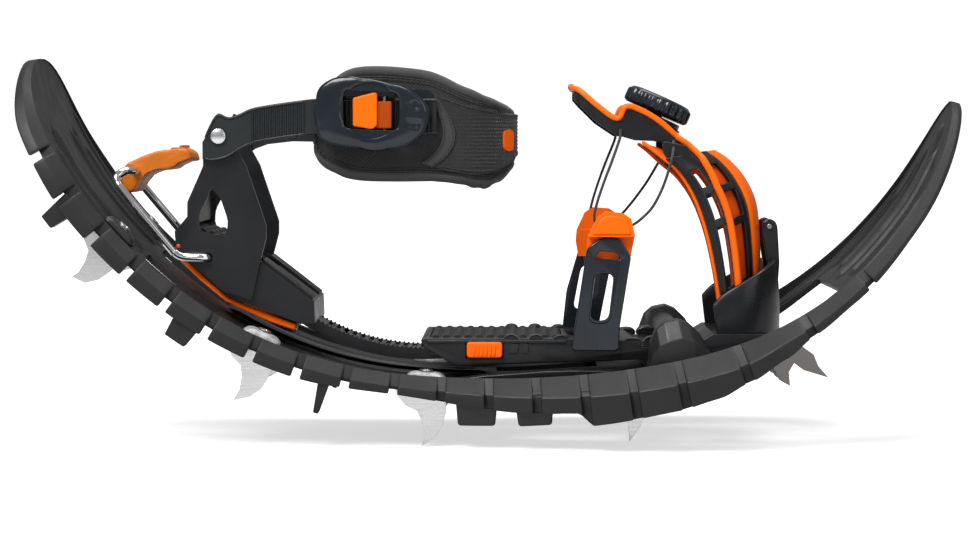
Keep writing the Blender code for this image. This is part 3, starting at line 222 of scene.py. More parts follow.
def chrome(name):
    look = Look(name)
    stain = look.span(look.noise(130.0, 5.0, 0.65), 0.5, 0.72)
    base = look.mix(look.math("MULTIPLY", stain, 0.25), (0.8, 0.8, 0.81, 1), (0.55, 0.55, 0.56, 1))
    roughness = look.span(look.noise(300.0, 4.0), 0.35, 0.7, 0.06, 0.16)
    return look.finish(base, roughness, look.bump(look.noise(260.0, 3.0), 0.06, 0.0003), metallic=1.0)


def clear(name):
    """Cloudy clear plastic over a screw."""
    look = Look(name)
    cloud = look.noise(160.0, 4.0)
    base = look.mix(look.span(cloud, 0.35, 0.65), (0.3, 0.3, 0.3, 1), (0.75, 0.75, 0.74, 1))
    return look.finish(base, look.span(cloud, 0.3, 0.7, 0.12, 0.35), look.bump(cloud, 0.3, 0.0006),
                       Transmission_Weight=0.45, IOR=1.46)


def woven(name, colour, pitch, rough=0.85, lift=0.6):
    """A plain weave: warp and weft from sine waves, laid on the nearer of two upright planes."""
    look = Look(name)
    split = look.add("SeparateXYZ", None, Vector=look.coords)
    geometry = look.nodes.new("ShaderNodeNewGeometry").outputs["Normal"]
    facing = look.add("SeparateXYZ", None, Vector=geometry)
    side = look.math("GREATER_THAN", look.math("ABSOLUTE", facing.outputs[0]),
                     look.math("ABSOLUTE", facing.outputs[1]))
    flat = look.add("Mix", {"data_type": "FLOAT"}, Factor=side)
    look.put(split.outputs[0], flat.inputs[2])
    look.put(split.outputs[1], flat.inputs[3])
    turn = 2 * math.pi / pitch
    warp = look.math("SINE", look.math("MULTIPLY", flat.outputs[0], turn))
    weft = look.math("SINE", look.math("MULTIPLY", split.outputs[2], turn))
    weave = look.math("MULTIPLY", warp, weft)
    fuzz = look.noise(3500.0, 3.0)
    height = look.math("ADD", look.span(weave, -1, 1), look.math("MULTIPLY", fuzz, 0.5))
    cloud = look.span(look.noise(55.0, 5.0), 0.35, 0.7)
    # Painted shade and highlight: the weave's hollows darker and its raised crossings lighter, following the same
    # height as the bump.
    base = look.mix(look.span(weave, -0.6, 0.8), rgb(colour, 0.45), rgb(colour, 1.5))
    base = look.mix(look.math("MULTIPLY", cloud, 0.35), base, rgb([c * 1.3 + 0.015 for c in colour]))
    return look.finish(base, rough, look.bump(height, lift, 0.0006), Sheen_Weight=0.25, Sheen_Roughness=0.4)


def cord_look(name, colour, pitch):
    """A braided cord: two sets of slanted strands."""
    look = Look(name)
    waves = []
    for turn in (0.8, -0.8):
        vector = look.stretch(1 / pitch, 1 / pitch, 1 / pitch, (turn, turn, 0))
        waves.append(look.add("TexWave", {"wave_type": "BANDS", "bands_direction": "Z"}, Vector=vector, Scale=1.0,
                              Distortion=0.6).outputs["Fac"])
    height = look.math("MULTIPLY", *waves)
    # Painted shade and highlight: the grooves between strands darker and the strands' crests lighter, following the
    # bump's height.
    base = look.mix(height, rgb(colour, 0.5), rgb(colour, 1.8))
    return look.finish(base, 0.6, look.bump(height, 0.6, 0.0003), Sheen_Weight=0.2)


# The deck's grooves and notches are darkened with painted shade.
DECK = plastic("deck_moulding", (0.0135, 0.0136, 0.0139), 0.5, grain=0.3, wear=0.55, mottle=0.14, shine=0.26,
               painted_shade=0.85)
BLACK = plastic("binding_moulding", (0.0075, 0.008, 0.0095), 0.34, grain=0.14, wear=0.3)
GREY = plastic("grey_moulding", (0.014, 0.014, 0.0145), 0.44, grain=0.2)
NAVY = plastic("navy_gloss", (0.007, 0.0106, 0.0162), 0.24, grain=0.05, mottle=0.3, wear=0.25, coat=0.25, spread=0.06)
ORANGE = plastic("orange_moulding", (0.96, 0.128, 0.0), 0.4, grain=0.12, mottle=0.05, wear=0.0, spread=0.06,
                 shine=0.16)
# A darker copy of the orange moulding: painted shade for the release lever's recessed foot.
ORANGE_PAINTED_SHADE = plastic("orange_in_shade", (0.34, 0.046, 0.0), 0.6, grain=0.12, mottle=0.05, wear=0.0, shine=0.12)
LINER = plastic("orange_liner", (0.6, 0.06, 0.001), 0.62, grain=0.4, grain_scale=900.0, mottle=0.18, wear=0.0)
AMBER = plastic("amber_rubber", (0.54, 0.13, 0.0), 0.5, grain=0.3, grain_scale=600.0, mottle=0.28, wear=0.0)
RUBBER = rubber("grip_rubber", (0.01, 0.01, 0.0105), 0.72)
STEEL = steel("spike_steel", (0.72, 0.72, 0.73), 0.24)
PIN_STEEL = steel("pin_steel", (0.3, 0.3, 0.31), 0.34)
DARK_STEEL = steel("claw_steel", (0.22, 0.205, 0.2), 0.34)
CHROME = chrome("bail_chrome")
CLEAR = clear("clear_cap")
STRAP = plastic("strap_plastic", (0.0125, 0.015, 0.017), 0.4, grain=0.22, wear=0.25)
MESH_FABRIC = woven("pad_mesh", (0.012, 0.012, 0.0125), 0.0022)
WEBBING = woven("pad_webbing", (0.0125, 0.0122, 0.0125), 0.0015, rough=0.78, lift=0.8)
TAPE = woven("binding_tape", (0.034, 0.0335, 0.0335), 0.0011, rough=0.8, lift=0.5)
CORD = cord_look("lace_cord", (0.012, 0.012, 0.013), 0.0012)
THREAD = plastic("thread", (0.03, 0.03, 0.031), 0.6, grain=0.3, wear=0.0)


# ================================================================ mesh helpers
def finish_object(obj, look, body, slot, replaced, smooth):
    """Gives obj its material and body; slot is not used. smooth is the angle in degrees up to which its faces join
    softly.
    """
    mesh = obj.data
    mesh.materials.clear()
    mesh.materials.append(look)
    mesh.shade_smooth()
    if smooth:
        mesh.set_sharp_from_angle(angle=math.radians(smooth))
    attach(obj, body)
    if replaced:
        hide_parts(*replaced)
    return obj


def new_mesh(name, points, faces):
    """A welded mesh, its normals outwards, from points in the drawing's coordinates."""
    mesh = bpy.data.meshes.new(name)
    mesh.from_pydata([tuple(Vector(p) + SHIFT) for p in points], [], faces)
    shape = bmesh.new()
    shape.from_mesh(mesh)
    bmesh.ops.remove_doubles(shape, verts=shape.verts, dist=1e-7)
    bmesh.ops.recalc_face_normals(shape, faces=shape.faces)
    shape.to_mesh(mesh)
    shape.free()
    return mesh


def new_object(name, data):
    obj = bpy.data.objects.new(name, data)
    bpy.context.scene.collection.objects.link(obj)
    return obj


def piece(name, points, faces, look, body, slot, replaced=(), smooth=35.0):
    """A new piece from points in the drawing's coordinates."""
    return finish_object(new_object(name, new_mesh(name, points, faces)), look, body, slot, replaced, smooth)


def bevel(obj, width, segments, angle):
    made = obj.modifiers.new("edge", "BEVEL")
    made.width = width
    made.segments = segments
    made.limit_method = "ANGLE"
    made.angle_limit = math.radians(angle)
    made.use_clamp_overlap = True
    made.miter_outer = "MITER_ARC"
    return obj


def edged(name, shape, look, body, slot, width, segments, replaced=(), smooth=35.0, angle=32.0):
    """A new piece of (points, faces) with its edges rounded."""
    return bevel(piece(name, *shape, look, body, slot, replaced, smooth), width, segments, angle)


def subdivide(obj):
    made = obj.modifiers.new("subdivision", "SUBSURF")
    made.levels = made.render_levels = 1


def recast(node, look, slot, width, segments=2):
    """A piece with the CAD node's own shape, its facets joined into clean faces and its edges rounded."""
    shape = bmesh.new()
    shape.from_mesh(NODES[node].data)
    bmesh.ops.remove_doubles(shape, verts=shape.verts, dist=2e-6)
    bmesh.ops.dissolve_limit(shape, angle_limit=math.radians(1.0), verts=shape.verts, edges=shape.edges)
    mesh = bpy.data.meshes.new("seen_" + node)
    shape.to_mesh(mesh)
    shape.free()
    for name in [a.name for a in mesh.attributes if a.name == "custom_normal"]:
        mesh.attributes.remove(mesh.attributes[name])
    obj = finish_object(new_object("seen_" + node, mesh), look, BODY_OF[node], slot, (node,), 35.0)
    if width:
        bevel(obj, width, segments, 30.0)
    return obj


def loft(rings, closed=False):
    """A skin over rings of points, capped at both ends, or closed on itself."""
    size, count = len(rings[0]), len(rings)
    points = [p for ring in rings for p in ring]
    faces = []
    for i in range(count if closed else count - 1):
        here, there = i * size, ((i + 1) % count) * size
        for k in range(size):
            after = (k + 1) % size
            faces.append((here + k, here + after, there + after, there + k))
    if not closed:
        faces.append(tuple(range(size)))
        faces.append(tuple(range((count - 1) * size, count * size)))
    return points, faces


def catmull(points, steps):
    """A smooth curve through the points."""
    points = [Vector(p) for p in points]
    ends = [2 * points[0] - points[1], *points, 2 * points[-1] - points[-2]]
    out = []
    for a, b, c, d in zip(ends, ends[1:], ends[2:], ends[3:]):
        for k in range(steps):
            t = k / steps
            out.append(0.5 * (2 * b + (c - a) * t + (2 * a - 5 * b + 4 * c - d) * t * t
                              + (3 * b - a - 3 * c + d) * t ** 3))
    return [*out, points[-1]]


def circle(count):
    """The angles of count evenly spaced directions."""
    return [2 * math.pi * k / count for k in range(count)]


def tube(path, radius, sides, flat=1.0):
    """A tube with domed ends. radius may be a list, and flat squeezes it across the path."""
    path = [Vector(p) for p in path]
    radii = radius if isinstance(radius, (list, tuple)) else [radius] * len(path)
    rings, across = [], None
    for i, p in enumerate(path):
        ahead = (path[min(i + 1, len(path) - 1)] - path[max(i - 1, 0)]).normalized()
        if across is None:
            across = ahead.orthogonal().normalized()
        across = (across - ahead * across.dot(ahead)).normalized()
        other = ahead.cross(across)
        ring = [(math.cos(t) * across + flat * math.sin(t) * other) * radii[i] for t in circle(sides)]
        if i == 0:
            for share, back in ((0.35, 0.95), (0.75, 0.6)):
                rings.append([p - ahead * radii[0] * back + v * share for v in ring])
        rings.append([p + v for v in ring])
        if i == len(path) - 1:
            for share, on in ((0.75, 0.6), (0.35, 0.95)):
                rings.append([p + ahead * radii[-1] * on + v * share for v in ring])
    return loft(rings)


def plate(outline, y0, y1):
    """An upright slab: an outline of (x, z) points between y0 and y1."""
    return loft([[Vector((x, y, z)) for x, z in outline] for y in (y0, y1)])


def rounded(corners, radius, steps=4):
    """The outline with its corners rounded."""
    out = []
    count = len(corners)
    for i, corner in enumerate(corners):
        here = Vector(corner)
        before, after = Vector(corners[i - 1]), Vector(corners[(i + 1) % count])
        back, on = before - here, after - here
        reach = min(radius, back.length * 0.45, on.length * 0.45)
        first, last = here + back.normalized() * reach, here + on.normalized() * reach
        for k in range(steps + 1):
            t = k / steps
            out.append(tuple((1 - t) ** 2 * first + 2 * t * (1 - t) * here + t * t * last))
    return out


def both(side, inner, outer):
    """The two y values, lower first, of a part between two distances from the middle."""
    return sorted((side * inner, side * outer))


def slab(outline, side, inner, outer):
    """A plate on one side of the snowshoe, between two distances from the middle."""
    return plate(outline, *both(side, inner, outer))


def evaluated(obj):
    """A mesh of obj with its modifiers applied."""
    return bpy.data.meshes.new_from_object(obj.evaluated_get(bpy.context.evaluated_depsgraph_get()))


def cut(obj, cutters):
    """Applies a Boolean difference with (points, faces) cutters given in the drawing's coordinates."""
    group = bpy.data.collections.new("cutters")
    for points, faces in cutters:
        group.objects.link(bpy.data.objects.new("cutter", new_mesh("cutter", points, faces)))
    change = obj.modifiers.new("cut", "BOOLEAN")
    change.operand_type = "COLLECTION"
    change.collection = group
    change.solver = "EXACT"
    mesh = evaluated(obj)
    obj.modifiers.clear()
    obj.data = mesh
    for cutter in list(group.objects):
        bpy.data.objects.remove(cutter)
    bpy.data.collections.remove(group)
    mesh.shade_smooth()
    mesh.set_sharp_from_angle(angle=math.radians(35))


# ================================================================ the bent deck
START = (-0.2587, 0.2176)                     # the tail tip's x and z
START_ANGLE = math.radians(-80.6)
ARCS = mm(((51.7, 142.7), (121.5, 273.8), (120, 235), (160, 514), (220, 212)))
DECK_LENGTH = sum(length for length, _ in ARCS)
DECK_PLATE = 0.0035
WALL, LEAST_WALL = 0.005, 0.0008              # the side wall's thickness, and its least height
NOTCH = 0.0048
NOTCH_CENTRES = [*[0.0555 + 0.026 * i for i in range(16)], 0.479, 0.518, 0.558]
OPEN_NOTCH_LIMIT = 0.293
PIVOT_S = 0.448                               # the toe pivot, along the deck


def rim(s):
    """The side rim at the length s from the tail's tip: x, z and direction."""
    x, z = START
    angle = START_ANGLE
    for length, radius in ARCS:
        run = min(max(s, 0.0), length)
        ahead = angle + run / radius
        x += radius * (math.sin(ahead) - math.sin(angle))
        z -= radius * (math.cos(ahead) - math.cos(angle))
        angle = ahead
        s -= run
        if s <= 0:
            break
    return x, z, angle


def bent(s, y, n):
    """The point at the length s along the deck, y across it and n above its rim."""
    x, z, angle = rim(s)
    return Vector((x - n * math.sin(angle), y, z + n * math.cos(angle)))


def ramp(s, keys):
    """The value at s of (s, value) keys joined by smooth steps."""
    if s <= keys[0][0]:
        return keys[0][1]
    for (s0, v0), (s1, v1) in zip(keys, keys[1:]):
        if s <= s1:
            t = (s - s0) / (s1 - s0)
            return v0 + (v1 - v0) * t * t * (3 - 2 * t)
    return keys[-1][1]


def half_width(s):
    body = ramp(s, mm(((90, 90), (150, 91), (293, 80), (453, 103), (493, 104))))
    if s < 0.085:
        body *= (1 - (1 - s / 0.085) ** 2.4) ** (1 / 2.4)
    left = max(DECK_LENGTH - s, 0.0)
    if left < 0.19:
        body *= (1 - (1 - left / 0.19) ** 1.9) ** (1 / 1.9)
    return max(body, 0.006)


def wall_height(s):
    return ramp(s, mm(((0, 6), (40, 12), (90, 14.5), (233, 13.5), (283, 11), (380, 19.5), (388.5, 20), (396, 27.5),
                       (440, 25.8), (462, 24), (479, 20.5), (500, 16.2), (518, 12.4), (545, 10.2), (600, 7.1),
                       (670, 4.8))))


def shoulder(s):
    return ramp(s, mm(((0, 3), (50, 6), (273, 6.5), (423, 11.5), (473, 11), (512, 7.6), (560, 6), (600, 5),
                       (670, 2.8))))


def recess(s):
    return ramp(s, mm(((0, 1), (90, 3.5), (373, 4.5), (453, 8), (500, 7.5), (545, 4.5), (600, 3), (670, 1))))


def inner_half(s):
    w, drop = half_width(s), shoulder(s)
    return w - min(drop * 1.15, w * 0.4) - 0.001


def box_step(x, low, high, soft):
    """1 between low and high, falling smoothly to 0 over soft outside them."""
    up = min(max((x - low + soft) / soft, 0.0), 1.0)
    down = min(max((high + soft - x) / soft, 0.0), 1.0)
    return (up * up * (3 - 2 * up)) * (down * down * (3 - 2 * down))


HOLES = ((0.43, 0.546, -1.0, 0.628), (0.132, 0.182, 0.24, 0.58), (0.345, 0.404, 0.256, 0.64))
RIBS = (                                      # share of the inner width, run along the deck, height
    (0.3, 0.335, 0.048, 0.122, 0.0016), (0.6, 0.635, 0.058, 0.118, 0.0014), (0.86, 0.92, 0.035, 0.615, 0.001),
    (0.14, 0.175, 0.19, 0.335, 0.0014), (0.66, 0.7, 0.19, 0.42, 0.0012), (0.3, 0.34, 0.562, 0.64, 0.0016),
    (0.7, 0.74, 0.44, 0.61, 0.0014), (0.0, 0.06, 0.556, 0.655, 0.0018),
)
CHANNELS = ((0.42, 0.52, 0.045, 0.126, 0.0012), (0.0, 0.1, 0.19, 0.335, 0.0012), (0.4, 0.58, 0.196, 0.33, 0.001),
            (0.42, 0.62, 0.56, 0.632, 0.001))


def relief(s, v):
    rise = 0.0
    for v0, v1, s0, s1, height in RIBS:
        rise = max(rise, height * box_step(v, v0, v1, 0.012) * box_step(s, s0, s1, 0.006))
    for v0, v1, s0, s1, depth in CHANNELS:
        rise -= depth * box_step(v, v0, v1, 0.02) * box_step(s, s0, s1, 0.006)
    return rise


def share_lines():
    lines = {0.0, 1.0}
    lines.update(k / 16 for k in range(17))
    for v0, v1, *_ in (*RIBS, *CHANNELS):
        lines.update((v0 - 0.012, v0, v1, v1 + 0.012))
    for _, _, v0, v1 in HOLES:
        lines.update((v0, v1))
    lines = sorted(v for v in lines if 0.0 <= v <= 1.0)
    kept = [lines[0]]
    for v in lines[1:]:
        if v - kept[-1] > 0.005:
            kept.append(v)
    return kept


LINES = share_lines()


def deck_stations():
    """(s, notched, rounding): rounding pulls a block's end edges in."""
    stations = {}
    for centre in NOTCH_CENTRES:
        low, high = centre - NOTCH / 2, centre + NOTCH / 2
        for s, notched, pull in ((low - 0.001, False, 0.0), (low - 0.0003, False, 0.3), (low, False, 1.0),
                                 (low + 0.0001, True, 0.0), (high - 0.0001, True, 0.0), (high, False, 1.0),
                                 (high + 0.0003, False, 0.3), (high + 0.001, False, 0.0)):
            stations[round(s, 5)] = (notched, pull)
    wanted = [k * 0.003 for k in range(int(DECK_LENGTH / 0.003) + 1)]
    wanted += [s for hole in HOLES for s in hole[:2]]
    wanted += [0.0005, 0.0015, 0.3885, 0.3905, 0.393, 0.396]
    wanted += [DECK_LENGTH - left for left in (0.0105, 0.008, 0.006, 0.004, 0.0025, 0.0012, 0.0004, 0.0)]
    for s in wanted:
        clear_of = all(abs(s - c) > NOTCH / 2 + 0.0011 for c in NOTCH_CENTRES)
        if clear_of and all(abs(s - other) > 0.0002 for other in stations):
            stations[round(s, 5)] = (False, 0.0)
    return sorted((s, *rest) for s, rest in stations.items())


def deck_half(s, notched, pull):
    """The right half of a cross-section, from the middle of the top to the middle of the underside."""
    w, h, drop, low = half_width(s), wall_height(s), shoulder(s), recess(s)
    inner = inner_half(s)
    bottom = low + DECK_PLATE
    foot = max(h, bottom + LEAST_WALL)
    bite = 0.0
    if notched:
        bite = 0.0042 if s < 0.6 else 0.001
        if s < OPEN_NOTCH_LIMIT or s > 0.54:
            foot = bottom + LEAST_WALL
    drop = min(drop, foot - LEAST_WALL)
    wall = min(WALL, w * 0.3)
    edge = w - bite - 0.0006 * pull
    foot -= 0.0005 * pull
    fillet = min(0.0007, low * 0.4, w * 0.04)
    top = [(v * inner, relief(s, v) - low) for v in LINES[:-1]]
    top += [(inner - fillet * 0.4, -low), (inner, fillet - low), (inner + 0.0001, -fillet), (inner + fillet, -0.0001)]
    slope = (edge - inner) * 0.12
    top += [(edge - slope, -drop * 0.9), (edge - slope * 0.25, -drop * 0.99), (edge, -drop - fillet * 0.8)]
    top += [(edge - 0.0001, -foot + fillet), (edge - fillet, -foot), (w - wall + fillet, -foot)]
    top += [(w - wall, -foot + fillet), (w - wall - 0.001, -bottom)]
    under = [(v * (w - wall - 0.0015), -bottom) for v in reversed(LINES[:-1])]
    return top, under


def deck_surface():
    stations = deck_stations()
    rings = []
    for s, notched, pull in stations:
        top, under = deck_half(s, notched, pull)
        half = top + under
        ring = [bent(s, -y, n) for y, n in half]
        ring += [bent(s, y, n) for y, n in reversed(half[1:-1])]
        rings.append(ring)
    size, lines = len(rings[0]), len(LINES)
    half_size = len(top) + len(under)
    points = [p for ring in rings for p in ring]

    def holed(i, k):
        """Whether the cell between stations i and i + 1 and lines k and k + 1 of the top lies in an opening."""
        if not (0 <= i < len(stations) - 1 and 0 <= k < lines - 1):
            return False
        s, v = (stations[i][0] + stations[i + 1][0]) / 2, (LINES[k] + LINES[k + 1]) / 2
        return any(s0 < s < s1 and v0 < v < v1 for s0, s1, v0, v1 in HOLES)

    def top_index(i, k, side):
        j = k if side < 0 or k == 0 else size - k
        return i * size + j

    def under_index(i, k, side):
        j = half_size - 1 - k
        if side > 0 and k > 0:
            j = size - j
        return i * size + j

    faces = []
    for i in range(len(stations) - 1):
        for j in range(size):
            after = (j + 1) % size
            mirrored = j if j < half_size - 1 else size - 1 - j
            k = mirrored if mirrored < lines - 1 else half_size - 2 - mirrored
            if 0 <= k < lines - 1 and holed(i, k):
                continue
            here, there = i * size, (i + 1) * size
            faces.append((here + j, here + after, there + after, there + j))
    for side in (-1, 1):
        for i in range(len(stations)):
            for k in range(lines - 1):
                if not holed(i, k):
                    continue
                for other in (i - 1, i + 1):
                    if not holed(other, k):
                        a = i if other < i else i + 1
                        faces.append((top_index(a, k, side), top_index(a, k + 1, side),
                                      under_index(a, k + 1, side), under_index(a, k, side)))
                for other in (k - 1, k + 1):
                    if other < 0:
                        continue
                    if not holed(i, other):
                        b = k if other < k else k + 1
                        faces.append((top_index(i, b, side), top_index(i + 1, b, side),
                                      under_index(i + 1, b, side), under_index(i, b, side)))
    faces.append(tuple(range(size)))
    faces.append(tuple(range((len(stations) - 1) * size, len(stations) * size)))
    return points, faces


LUG_TAPER = 0.0022


def deck_block(s0, s1, y0, y1, n0, n1):
    """A block bent with the deck from s0 to s1, narrower all round at its lower face n0."""
    rings = []
    for k in range(5):
        t = k / 4
        ring = []
        for n in (n0, n1):
            inset = LUG_TAPER if n == n0 else 0.0
            s = s0 + inset + (s1 - s0 - 2 * inset) * t
            pair = [bent(s, y0 + inset, n), bent(s, y1 - inset, n)]
            ring += pair if n == n0 else reversed(pair)
        rings.append(ring)
    return loft(rings)


def merge(parts):
    """Several (points, faces) shapes as one."""
    points, faces = [], []
    for more_points, more_faces in parts:
        start = len(points)
        points += list(more_points)
        faces += [tuple(i + start for i in face) for face in more_faces]
    return points, faces


LUGS = (                                      # name, look, rounding, width, margin, (start, end, depth) of each
    ("deck_lugs_broad", GREY, 0.0016, 0.022, 0.0015, mm(((323, 347, 26.3), (355, 377, 26.3)))),
    ("deck_lugs", DECK, 0.0012, 0.014, 0.002, mm(((80, 92, 25.5), (166, 182, 24.5), (249, 256, 29.5)))),
)


def build_deck():
    piece("deck", *deck_surface(), DECK, "frame", "deck", ("frame_deck",), 28)
    for name, side in SIDES:
        for label, look, rounding, width, margin, lugs in LUGS:
            blocks = []
            for s0, s1, depth in lugs:
                outer = half_width(s0) - margin
                blocks.append(deck_block(s0, s1, *both(side, outer - width, outer), -depth, -recess(s0) - 0.003))
            edged(f"{label}_{name}", merge(blocks), look, "frame", "deck", rounding, 3)


def wall_grid(rows, columns, outer, inner, holed=lambda row, column: False):
    """A thin wall between two point functions of (row, column), with the holed cells left open and walled round."""
    m, n = len(rows), len(columns)
    points = [outer(r, c) for r in rows for c in columns] + [inner(r, c) for r in rows for c in columns]
    back = m * n

    def open_cell(i, j):
        if not (0 <= i < m - 1 and 0 <= j < n - 1):
            return True
        return holed((rows[i] + rows[i + 1]) / 2, (columns[j] + columns[j + 1]) / 2)

    faces = []
    for i in range(m - 1):
        for j in range(n - 1):
            if open_cell(i, j):
                continue
            a, b, c, d = i * n + j, i * n + j + 1, (i + 1) * n + j + 1, (i + 1) * n + j
            faces += [(a, b, c, d), (back + d, back + c, back + b, back + a)]
            for p, q, near in ((a, b, (i - 1, j)), (b, c, (i, j + 1)), (c, d, (i + 1, j)), (d, a, (i, j - 1))):
                if open_cell(*near):
                    faces.append((q, p, back + p, back + q))
    return points, faces


def turned(stations, x, z, sides):
    """A round shape about an axis along y through (x, z): (y, radius) stations."""
    return loft([[Vector((x + r * math.cos(t), y, z + r * math.sin(t))) for t in circle(sides)] for y, r in stations])


def dome(s, y, low, stations, sides):
    """A round shape standing on the deck: (height, radius) stations above n = low."""
    return loft([[bent(s + r * math.cos(t), y + r * math.sin(t), low + lift) for t in circle(sides)]
                 for lift, r in stations])


# ================================================================ frame
SPIKES = {"tail": 0.1128, "heel": 0.2117, "middle": 0.3062}
SPIKE_Y = 0.064


def spike_cap(place, name, side):
    """A clouded cap over the spike's screw; the tail's is a boss with a sunk screw."""
    s, y = SPIKES[place], side * (SPIKE_Y - 0.006)
    low = -recess(s)
    node = f"spike_cap_{place}_{name}"
    rings = []
    for lift, inset in mm(((0, 0), (2.6, 0.6), (3.8, 1.4), (5, 3.2), (5.6, 5.2))):
        half_s, half_y = 0.0116 - inset, 0.0084 - inset * 0.9
        corners = [(-half_s, -half_y), (half_s, -half_y), (half_s, half_y), (-half_s, half_y)]
        rings.append([bent(s + a, y + b, low + lift) for a, b in rounded(corners, 0.0042, 6)])
    look = GREY if place == "tail" else CLEAR
    subdivide(piece("seen_" + node, *loft(rings), look, "frame", "clear_grey", (node,)))
    head = dome(s, y, low, mm(((5, 4), (6.2, 4), (6.7, 3.6), (6.7, 2.1), (5.8, 1.8))), 24)
    piece(f"screw_{place}_{name}", *head, PIN_STEEL, "frame", "steel")


def pivot_housing(name, side):
    """The faceted bearing block beside the toe opening."""
    rings = []
    for offset, high, outer in mm(((-18.5, -4, 71.5), (-14.5, 10.5, 73), (-9.8, 17.8, 75.5), (-4.2, 20.8, 76.4),
                                   (4.2, 20.8, 76.4), (9.8, 17.2, 75.5), (14.5, 10, 73), (18.5, -4, 71.5))):
        s = PIVOT_S + offset
        foot = 0.0004 - recess(s)
        top = max(high, foot + 0.0012)
        edge = foot + (top - foot) * 0.62
        profile = ((0.057, foot), (0.057, edge), (0.059, top), (outer - 0.006, top), (outer, edge), (outer, foot))
        rings.append([bent(s, side * y, n) for y, n in profile])
    node = f"pivot_housing_{name}"
    edged("seen_" + node, loft(rings), GREY, "frame", "grey_plastic", 0.0007, 2, (node,), 18, 12.0)


def build_frame():
    build_deck()
    for place in (*SPIKES, "front"):
        for name, _ in SIDES:
            recast(f"spike_{place}_{name}", STEEL, "steel", 0.00035, 2)
    for place in SPIKES:
        for name, side in SIDES:
            spike_cap(place, name, side)
    for name, side in SIDES:
        pivot_housing(name, side)
        recast(f"flex_leaf_{name}", BLACK, "binding", 0.0007, 3)
    recast("toe_pivot_axle", BLACK, "steel", 0.0006, 3)


# ================================================================ binding
TONGUE_HINGE = (0.1612, 0.1208)
CAP_X = {"right": 0.0692, "left": 0.065}


def toe_cup():
    """A smooth glossy band across the toes, with a rolled top edge."""
    half = list(mm(((129, -46.2, 77), (135, -46.2, 83), (146, -45.5, 89.5), (155.5, -41, 95), (162, -31, 99),
                    (165.5, -17, 102), (166.5, 0, 103))))
    half += [(x, -y, z) for x, y, z in reversed(half[:-1])]
    path = catmull(half, 6)
    rings = []
    for i, p in enumerate(path):
        before, after = path[max(i - 1, 0)], path[min(i + 1, len(path) - 1)]
        ahead = Vector((after.x - before.x, after.y - before.y)).normalized()
        out = Vector((ahead.y, -ahead.x, 0)) * 0.0016
        low, high = Vector((p.x, p.y, 0.0604)), Vector((p.x - 0.002, p.y * 0.985, p.z))
        ring = [low.lerp(high, k / 8) + out * (1.0 + 0.55 * math.sin(math.pi * k / 8)) for k in range(9)]
        up = Vector((0, 0, 1))
        ring += [high + out * 0.75 + up * 0.0008, high + up * 0.0012, high - out * 0.75 + up * 0.0008]
        ring += [high.lerp(low, k / 4) - out for k in range(5)]
        rings.append(ring)
    edged("toe_cup_band", loft(rings), BLACK, "binding", "binding", 0.0005, 2, ("toe_cup",), 50, 50)
    hx = TONGUE_HINGE[0]
    horn = [(0.1618, 0.085), (0.1662, 0.085), (0.1672, 0.1), (0.166, 0.12), (0.165, 0.1236), (hx, 0.1256),
            (0.1576, 0.1238), (0.157, 0.118), (0.1602, 0.1)]
    for name, side in SIDES:
        tab = slab(rounded(horn, 0.0016, 4), side, 0.011, 0.0164)
        edged(f"toe_horn_{name}", tab, BLACK, "binding", "binding", 0.0009, 3, (), 40)


def platform_details():
    """Bumps, ledges and slot frames along the platform's sides."""
    for name, side in SIDES:
        bumps = []
        for x, length, z, high in mm(((9, 8, 58.5, 2.2), (23, 8, 58.5, 2.2), (37, 8, 58.5, 1.8), (76, 11, 56.6, 2.2),
                                      (87.5, 13, 56.6, 3.4))):
            rings = []
            y0, y1 = both(side, 0.0385, 0.047)
            for k in range(9):
                t = k / 8
                rise = high * math.sin(math.pi * t) ** 0.5 if 0 < k < 8 else 0.0002
                px = x + length * t
                rings.append([Vector((px, y0, z - 0.002)), Vector((px, y1, z - 0.002)),
                              Vector((px, y1, z + rise * 0.7)), Vector((px, y1 - side * 0.001, z + rise)),
                              Vector((px, y0 + side * 0.001, z + rise)), Vector((px, y0, z + rise * 0.7))])
            bumps.append(loft(rings))
        edged(f"platform_bumps_{name}", merge(bumps), BLACK, "binding", "binding", 0.0005, 2)
        frames = []
        for x0, x1, z0, z1 in mm(((11.8, 16.8, 50.2, 56), (19, 22.5, 50.2, 56))):
            frames.append(slab([(x0, z0), (x1, z0), (x1 + 0.0006, z1), (x0 + 0.0006, z1)], side, 0.0478, 0.0487))
        edged(f"platform_marks_{name}", merge(frames), GREY, "binding", "binding", 0.0003, 2)
        ledge = rounded(mm(((-34.5, 56), (44, 56), (44, 57.8), (-34.5, 57.8))), 0.0006)
        edged(f"platform_ledge_{name}", slab(ledge, side, 0.047, 0.0492), BLACK, "binding", "binding", 0.0004, 2)


UPRIGHT_SLOTS = {"right": (0.0572, 0.0677, 0.003), "left": (0.05, 0.059, 0.005)}


def slot_lip(name, side):
    """The raised rim round an upright's slot."""
    x0, x1, lean = UPRIGHT_SLOTS[name]
    inner = rounded([(x0, 0.069), (x1, 0.069), (x1 + lean, 0.0955), (x0 + lean, 0.0955)], 0.0042, 6)
    middle = Vector((sum(p[0] for p in inner) / len(inner), sum(p[1] for p in inner) / len(inner)))
    rings = []
    for x, z in inner:
        here = Vector((x, z))
        away = (here - middle).normalized()
        ring = []
        for grow, y in ((0.0, 0.052), (0.0004, 0.053), (0.0012, 0.053), (0.0018, 0.0522)):
            spot = here + away * grow
            ring.append(Vector((spot.x, side * y, spot.y)))
        rings.append(ring)
    piece(f"slot_lip_{name}", *loft(rings, closed=True), NAVY, "binding", "navy_gloss", (), 50)


def cap_details(name, side):
    """The raised, bevelled face of the cap."""
    x = CAP_X[name]
    face = [(x - 0.0108, 0.1175), (x + 0.0112, 0.1175), (x + 0.009, 0.1252), (x + 0.0052, 0.1277),
            (x - 0.003, 0.1283), (x - 0.0066, 0.1256)]
    edged(f"cap_face_{name}", slab(face, side, 0.054, 0.0556), ORANGE, "binding", "orange", 0.0009, 3)


